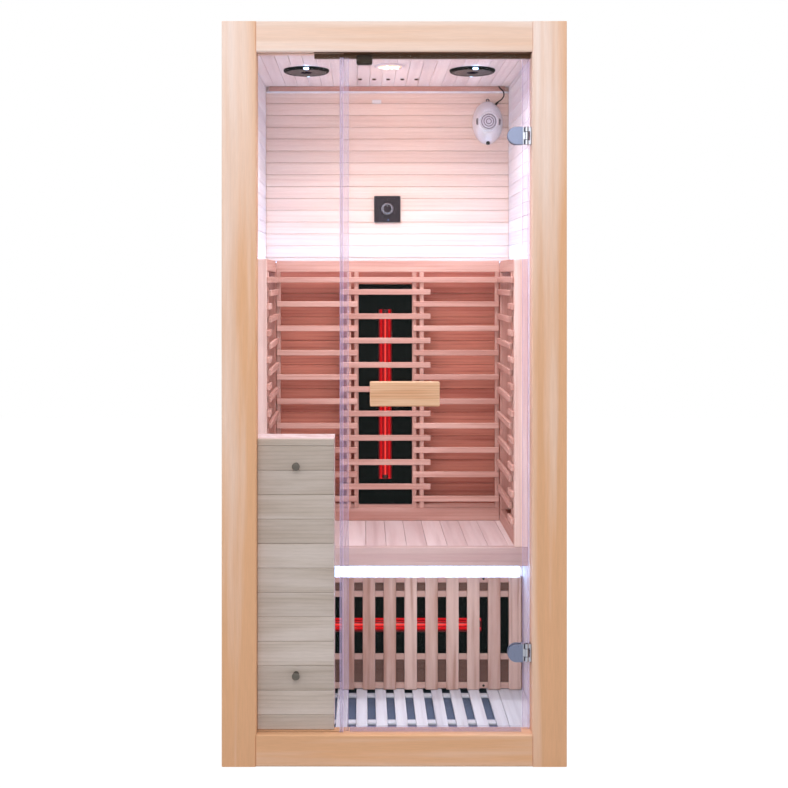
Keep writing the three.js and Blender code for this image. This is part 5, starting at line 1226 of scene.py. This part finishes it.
class SAUNA_OT_ionizer(bpy.types.Operator):
    """Egg-shaped ionizer: silver shell, ringed lavender lens with grey rings as painted shade, dark bars as
    painted shade for the side slots, eyelet and push switch
    """

    bl_idname = "sauna.ionizer"
    bl_label = "Ionizer"

    half_width = 50
    half_height = 70.5
    depth = 45
    flat = 37
    slot_half = 0.27
    slot_steps = 10
    ring = ((33, 30), (33.2, 37), (31.5, 40), (29, 40.5), (27.4, 39.5), (26.6, 36))
    groove = ((36.2, 28), (36.4, 31.6), (35, 32.6), (33.4, 32.8), (33, 31))
    dome = ((25.8, 35.6), (25.8, 37.6), (24, 39.4), (20.4, 40.8), (20.2, 40.2), (19.4, 40.2), (19, 41.2),
            (12.4, 42.6), (12.2, 42), (11.4, 42), (11, 42.8), (4, 43.2))
    # Radius and height of the grey rings on the lens, grey as painted shade in its grooves
    lens_rings = ((23, 40.4), (15.6, 42.4), (8, 43.4))
    button = ((3, 0), (4.6, 0.5), (5.8, 1.4), (6.2, 3))

    def execute(self, context):
        finish = context.scene.sauna_finish
        low, high = node_box("ionizer_shell")
        centre = Vector(((low.x + high.x) / 2, high.y, low.z + self.half_height))
        # Grey paints the shade in the groove round the lens and in the rings on it, and colours the eyelet
        grey = moulded("ionizer_grey", linear("#5E5A68"), 0.4)
        black = moulded("ionizer_black", finish.black, 0.4)
        case = paint(moulded("ionizer_silver", finish.silver, 0.42, metal=0.7, relief=0.01),
                     self.egg(centre), turn(self.ring, centre, FRONT, 64))
        case += paint(grey, turn(self.groove, centre, FRONT, 64), self.eyelet(centre))
        # Black bars beside the lens paint the shade of the side slots
        case += paint(black, *(self.slot_shade_bar(centre, middle) for middle in (0, math.pi)))
        assemble("ionizer_case", case, "silver_plastic", "ionizer_shell")
        lens = paint(moulded("ionizer_lavender", finish.lavender, 0.15, coat=0.5, relief=0.01),
                     turn(self.dome, centre, FRONT, 64))
        lens += paint(grey, *(
            turn([(r + 1, y - 1), (r + 1, y), (r - 1, y), (r - 1, y - 1)], centre, FRONT, 64)
            for r, y in self.lens_rings))
        assemble("ionizer_lens_dome", lens, "lavender_lens", "ionizer_lens")
        low, high = node_box("ionizer_switch")
        foot = ((low.x + high.x) / 2, (low.y + high.y) / 2, low.z)
        button = paint(black, turn((*self.button, (6.2, high.z - low.z)), foot, sides=32))
        assemble("ionizer_push_switch", button, "black_plastic", "ionizer_switch", body="ionizer_switch")
        return {"FINISHED"}

    def egg(self, centre):
        """Half an egg on the wall, its front flattened for the lens."""
        shell = add_shape("uv_sphere", segments=56, ring_count=36, radius=MM, location=centre * MM,
                          scale=(self.half_width, self.depth, self.half_height))
        bpy.ops.object.mode_set(mode="EDIT")
        for y, facing in ((centre.y, BACK), (centre.y - self.flat, FRONT)):
            bpy.ops.mesh.select_all(action="SELECT")
            bpy.ops.mesh.bisect(plane_co=(0, y * MM, 0), plane_no=facing, clear_outer=True, use_fill=True)
        bpy.ops.object.mode_set(mode="OBJECT")
        return smooth(shell)

    def eyelet(self, centre):
        """The hanging eye on top."""
        return smooth(add_shape(
            "torus", major_radius=4.5 * MM, minor_radius=1.6 * MM, major_segments=28, minor_segments=10,
            location=(centre + Vector((0, -6, self.half_height + 2.2))) * MM, rotation=(math.pi / 2, 0, 0)))

    def slot_shade_bar(self, centre, middle):
        """A curved dark bar beside the lens, standing for a side slot as painted shade; no opening is cut."""
        bar = add_block((37.2, -32, -1), (39.4, -24, 1))
        start = Matrix.Rotation(self.slot_half - middle, 4, "Y")
        bar.data.transform(start)
        end = start @ Vector(DOWN)
        select_parts(bar, "FACE", lambda face: face.normal.dot(end) > 0.9)
        for step in range(self.slot_steps):
            bpy.ops.mesh.extrude_region_move(TRANSFORM_OT_translate={"value": (0, 0, 0)})
            bpy.ops.transform.rotate(value=2 * self.slot_half / self.slot_steps, orient_axis="Y",
                                     center_override=(0, 0, 0))
        finish_edit()
        bar.data.transform(Matrix.Translation(centre * MM))
        return bar


class SAUNA_OT_glass_front(bpy.types.Operator):
    """Fixed pane, glass door, clear seals, head stop and catch"""

    bl_idname = "sauna.glass_front"
    bl_label = "Glass Front"

    bead = 0.6
    bead_inset = 0.4
    joint_bead = 8.2
    post_bead = 5
    lining = 0.8

    def execute(self, context):
        finish = context.scene.sauna_finish
        dress(float_glass("toughened_glass", finish.glass, 0.04), "fixed_glass", "door_glass")
        clear = float_glass("clear_seal_plastic", finish.seal, 0.16, 25)
        dress(clear, "fixed_glass_seal", "hinge_post_seal", "door_bottom_seal")
        self.beads(float_glass("seal_lip_plastic", finish.seal, 0.75, 25))
        self.head_stop()
        dress(moulded("catch_black", linear("#1F1712"), 0.5, shine=0.05), "magnetic_catch")
        dress(satin_steel("strike_steel", linear("#2A211B"), (0.05, 1, 1), 0.4), "catch_strike")
        return {"FINISHED"}

    def beads(self, lip):
        """Milky rounded lips along the seals' edges."""
        low, high = node_box("fixed_glass_seal")
        reach, inset = high.z - low.z, self.bead_inset
        profile = [(0.3, 0), (self.bead, inset), (self.bead, reach - inset), (0.3, reach)]
        joint = [turn(profile, (x, y, low.z), sides=10) for x, y in (
            (low.x + inset, low.y + self.bead), (low.x + self.joint_bead, low.y + self.bead),
            (high.x - inset, high.y - self.bead))]
        assemble("fixed_glass_seal_lips", paint(lip, *joint), "clear_seal")
        low, high = node_box("hinge_post_seal")
        post = [turn(profile, (x, low.y + self.bead, low.z), sides=10)
                for x in (low.x + self.bead, high.x - self.post_bead)]
        assemble("hinge_post_seal_lips", paint(lip, *post), "clear_seal")

    def head_stop(self):
        """The stop bar, dark brown partly from its stain and partly as painted shade, with a thin dark lining
        forward of it under the rail as painted shade on the rail's underside.
        """
        low, high = node_box("head_stop")
        pane = node_box("fixed_glass")[1]
        front, under = node_box("front_top_rail")[0].y + 4, high.z - self.lining
        bars = [add_block(low, high, 1, 2),
                # A thin dark lining under the rail, forward of the stop: painted shade on the rail's
                # underside
                add_block((low.x, front, under), (pane.x + 2, pane.y - 9, high.z), 0.2),
                add_block((pane.x + 2.2, front, under), (high.x, low.y + 2, high.z), 0.2)]
        paint(softwood("stop_stained_hemlock", "stop", "X"), *bars)
        assemble("head_stop_bar", bars, "dark_timber", "head_stop")


class SAUNA_OT_hinges(bpy.types.Operator):
    """Clamp hinges: D-shaped plates on both sides of the glass, a knuckle on a pin and a plate on the post"""

    bl_idname = "sauna.hinges"
    bl_label = "Hinges"

    pivot = (340, -428)
    knuckle = 6.8
    pin = 3
    # From the glass's middle to each clamp plate, and where the plates and their web end
    clamp_gap = 4.3
    plate_end = 329.5
    web = (326.3, 332.6)
    cap_x = 313.5
    cap = ((5, 0), (5, 0.5), (4.2, 1))
    # Half the height of the clamp's knuckle, and of the gap for it in the bracket's
    knuckle_half = 10
    gap_half = 10.5
    post_face = 348.2
    screw = ((4, 0), (4, 0.4), (3, 1.2))
    screw_rise = 15

    def execute(self, context):
        finish = context.scene.sauna_finish
        self.steel = satin_steel("hinge_steel", finish.hinge)
        self.polished = satin_steel("hinge_barrel_steel", finish.steel, rough=0.18)
        for place in ("upper", "lower"):
            low, high = node_box(f"hinge_clamp_{place}")
            middle = (low.z + high.z) / 2
            self.clamp(place, low, high, middle)
            self.bracket(place, middle)
        return {"FINISHED"}

    def barrel(self, end_radius, chamfer, bottom, top, middle):
        """A length of the knuckle round the pin, chamfered at its ends."""
        profile = [(end_radius, bottom), (self.knuckle, bottom + chamfer), (self.knuckle, top - chamfer),
                   (end_radius, top)]
        return turn(profile, (*self.pivot, middle), sides=32)

    def clamp(self, place, low, high, middle):
        x, y = self.pivot
        half = self.knuckle_half
        round_end = (high.z - low.z) / 2 - 0.05
        plates = [add_plate((low.x, near, low.z), (self.plate_end, far, high.z), 1, round_end, 1.1, 14,
                            lambda a, b: max(a.x, b.x) < low.x + 1)
                  for near, far in ((low.y, y - self.clamp_gap), (y + self.clamp_gap, high.y))]
        pieces = paint(self.steel, *plates) + paint(
            self.polished,
            add_block((self.web[0], y - 4, low.z + 0.5), (self.web[1], y + 4, high.z - 0.5), 0.6),
            add_block((328, y - 5, middle - half), (x - 2, y + 5, middle + half), 1),
            self.barrel(6.2, 0.7, -half, half, middle),
            turn(self.cap, (self.cap_x, high.y - 0.9, middle), BACK, 24))
        assemble(f"hinge_clamp_{place}_plates", pieces, "satin_metal", f"hinge_clamp_{place}", body="door")

    def bracket(self, place, middle):
        x, y = self.pivot
        low, high = node_box(f"hinge_bracket_{place}")
        bottom, top = low.z - middle, high.z - middle
        pieces = [add_block((self.post_face, low.y, low.z), high, 0.8, 2)]
        for start, end in ((bottom, -self.gap_half), (self.gap_half, top)):
            leaf = add_block((x + 1, y - 5, middle + start + 0.4), (349, y + 5, middle + end - 0.4), 0.8)
            pieces += [self.barrel(6, 0.8, start, end, middle), leaf]
        pieces.append(turn([(self.pin, bottom), (self.pin, top)], (x, y, middle), sides=24))
        for rise in (-self.screw_rise, self.screw_rise):
            pieces.append(turn(self.screw, (self.post_face + 0.2, high.y - 5.5, middle + rise), LEFT, 20))
        paint(self.polished, *pieces)
        assemble(f"hinge_bracket_{place}_plate", pieces, "satin_metal", f"hinge_bracket_{place}")


class SAUNA_OT_handles(bpy.types.Operator):
    """Rounded timber handle blocks on both sides of the door, on sleeved bolts"""

    bl_idname = "sauna.handles"
    bl_label = "Handles"

    trims = {"handle_outer": 0, "handle_inner": 7}

    def execute(self, context):
        wood = softwood("handle_hemlock_X", "handle", "X", ring=6, streak=20, figure=0.5)
        for node, trim in self.trims.items():
            low, high = node_box(node)
            grip = add_block(low, high - Vector((0, 0, trim)), context.scene.sauna_sizes.handle_round / MM, 4)
            assemble(f"{node}_grip", paint(wood, smooth(grip, 20)), "handle_timber", node, body="door")
        sleeve = satin_steel("sleeve_steel", context.scene.sauna_finish.steel, (1, 0.05, 1))
        dress(sleeve, "handle_bolt_left", "handle_bolt_right")
        return {"FINISHED"}


class SAUNA_OT_power(bpy.types.Operator):
    """Power box under the bench and the ribbed mains gland on the back"""

    bl_idname = "sauna.power"
    bl_label = "Power Box and Gland"

    stand_out = 13

    def execute(self, context):
        black = moulded("power_black", context.scene.sauna_finish.black, 0.5)
        dress(black, "power_box")
        low, high = node_box("mains_gland")
        centre = ((low.x + high.x) / 2, low.y, (low.z + high.z) / 2)
        reach = high.y - low.y
        seat = reach - self.stand_out
        gland = turn([(9, 0), (9, seat), (15, seat), (15, seat + 3.4), (14.2, seat + 4), (12, seat + 4),
                      (11.6, seat + 7), (9, reach - 1), (6, reach), (4.5, reach), (4.5, seat + 2)],
                     centre, BACK, 36)
        nut = turn([(14, seat + 3.8), (14, seat + 8), (13, seat + 9)], centre, BACK, 6)
        assemble("mains_gland_nut", paint(black, gland, nut), "black_plastic", "mains_gland")
        return {"FINISHED"}


class SAUNA_PT_cabin(bpy.types.Panel):
    """Sidebar list of the cabin's pieces and settings"""

    bl_label = "Infrared Sauna Cabin"
    bl_idname = "SAUNA_PT_cabin"
    bl_space_type = "VIEW_3D"
    bl_region_type = "UI"
    bl_category = "Sauna"

    def draw(self, context):
        for operator in OPERATORS:
            self.layout.operator(operator.bl_idname)
        for group in (context.scene.sauna_timber, context.scene.sauna_finish, context.scene.sauna_sizes):
            column = self.layout.column()
            for name in group.__annotations__:
                column.prop(group, name)


OPERATORS = (
    SAUNA_OT_stage, SAUNA_OT_lead, SAUNA_OT_walls, SAUNA_OT_front_frame, SAUNA_OT_floor_slats,
    SAUNA_OT_front_box, SAUNA_OT_bench, SAUNA_OT_kick_grille, SAUNA_OT_heaters, SAUNA_OT_seat_grilles,
    SAUNA_OT_ceiling_lights, SAUNA_OT_controls, SAUNA_OT_ionizer, SAUNA_OT_glass_front, SAUNA_OT_hinges,
    SAUNA_OT_handles, SAUNA_OT_power,
)
GROUPS = {"sauna_timber": SaunaTimber, "sauna_finish": SaunaFinish, "sauna_sizes": SaunaSizes}


def register():
    for group in GROUPS.values():
        bpy.utils.register_class(group)
    for name, group in GROUPS.items():
        setattr(bpy.types.Scene, name, PointerProperty(type=group))
    for operator in OPERATORS:
        bpy.utils.register_class(operator)
    bpy.utils.register_class(SAUNA_PT_cabin)


def unregister():
    bpy.utils.unregister_class(SAUNA_PT_cabin)
    for operator in reversed(OPERATORS):
        bpy.utils.unregister_class(operator)
    for name in GROUPS:
        delattr(bpy.types.Scene, name)
    for group in GROUPS.values():
        bpy.utils.unregister_class(group)


def main():
    register()
    for operator in OPERATORS:
        getattr(bpy.ops.sauna, operator.bl_idname.split(".")[1])()


if __name__ == "__main__":
    main()
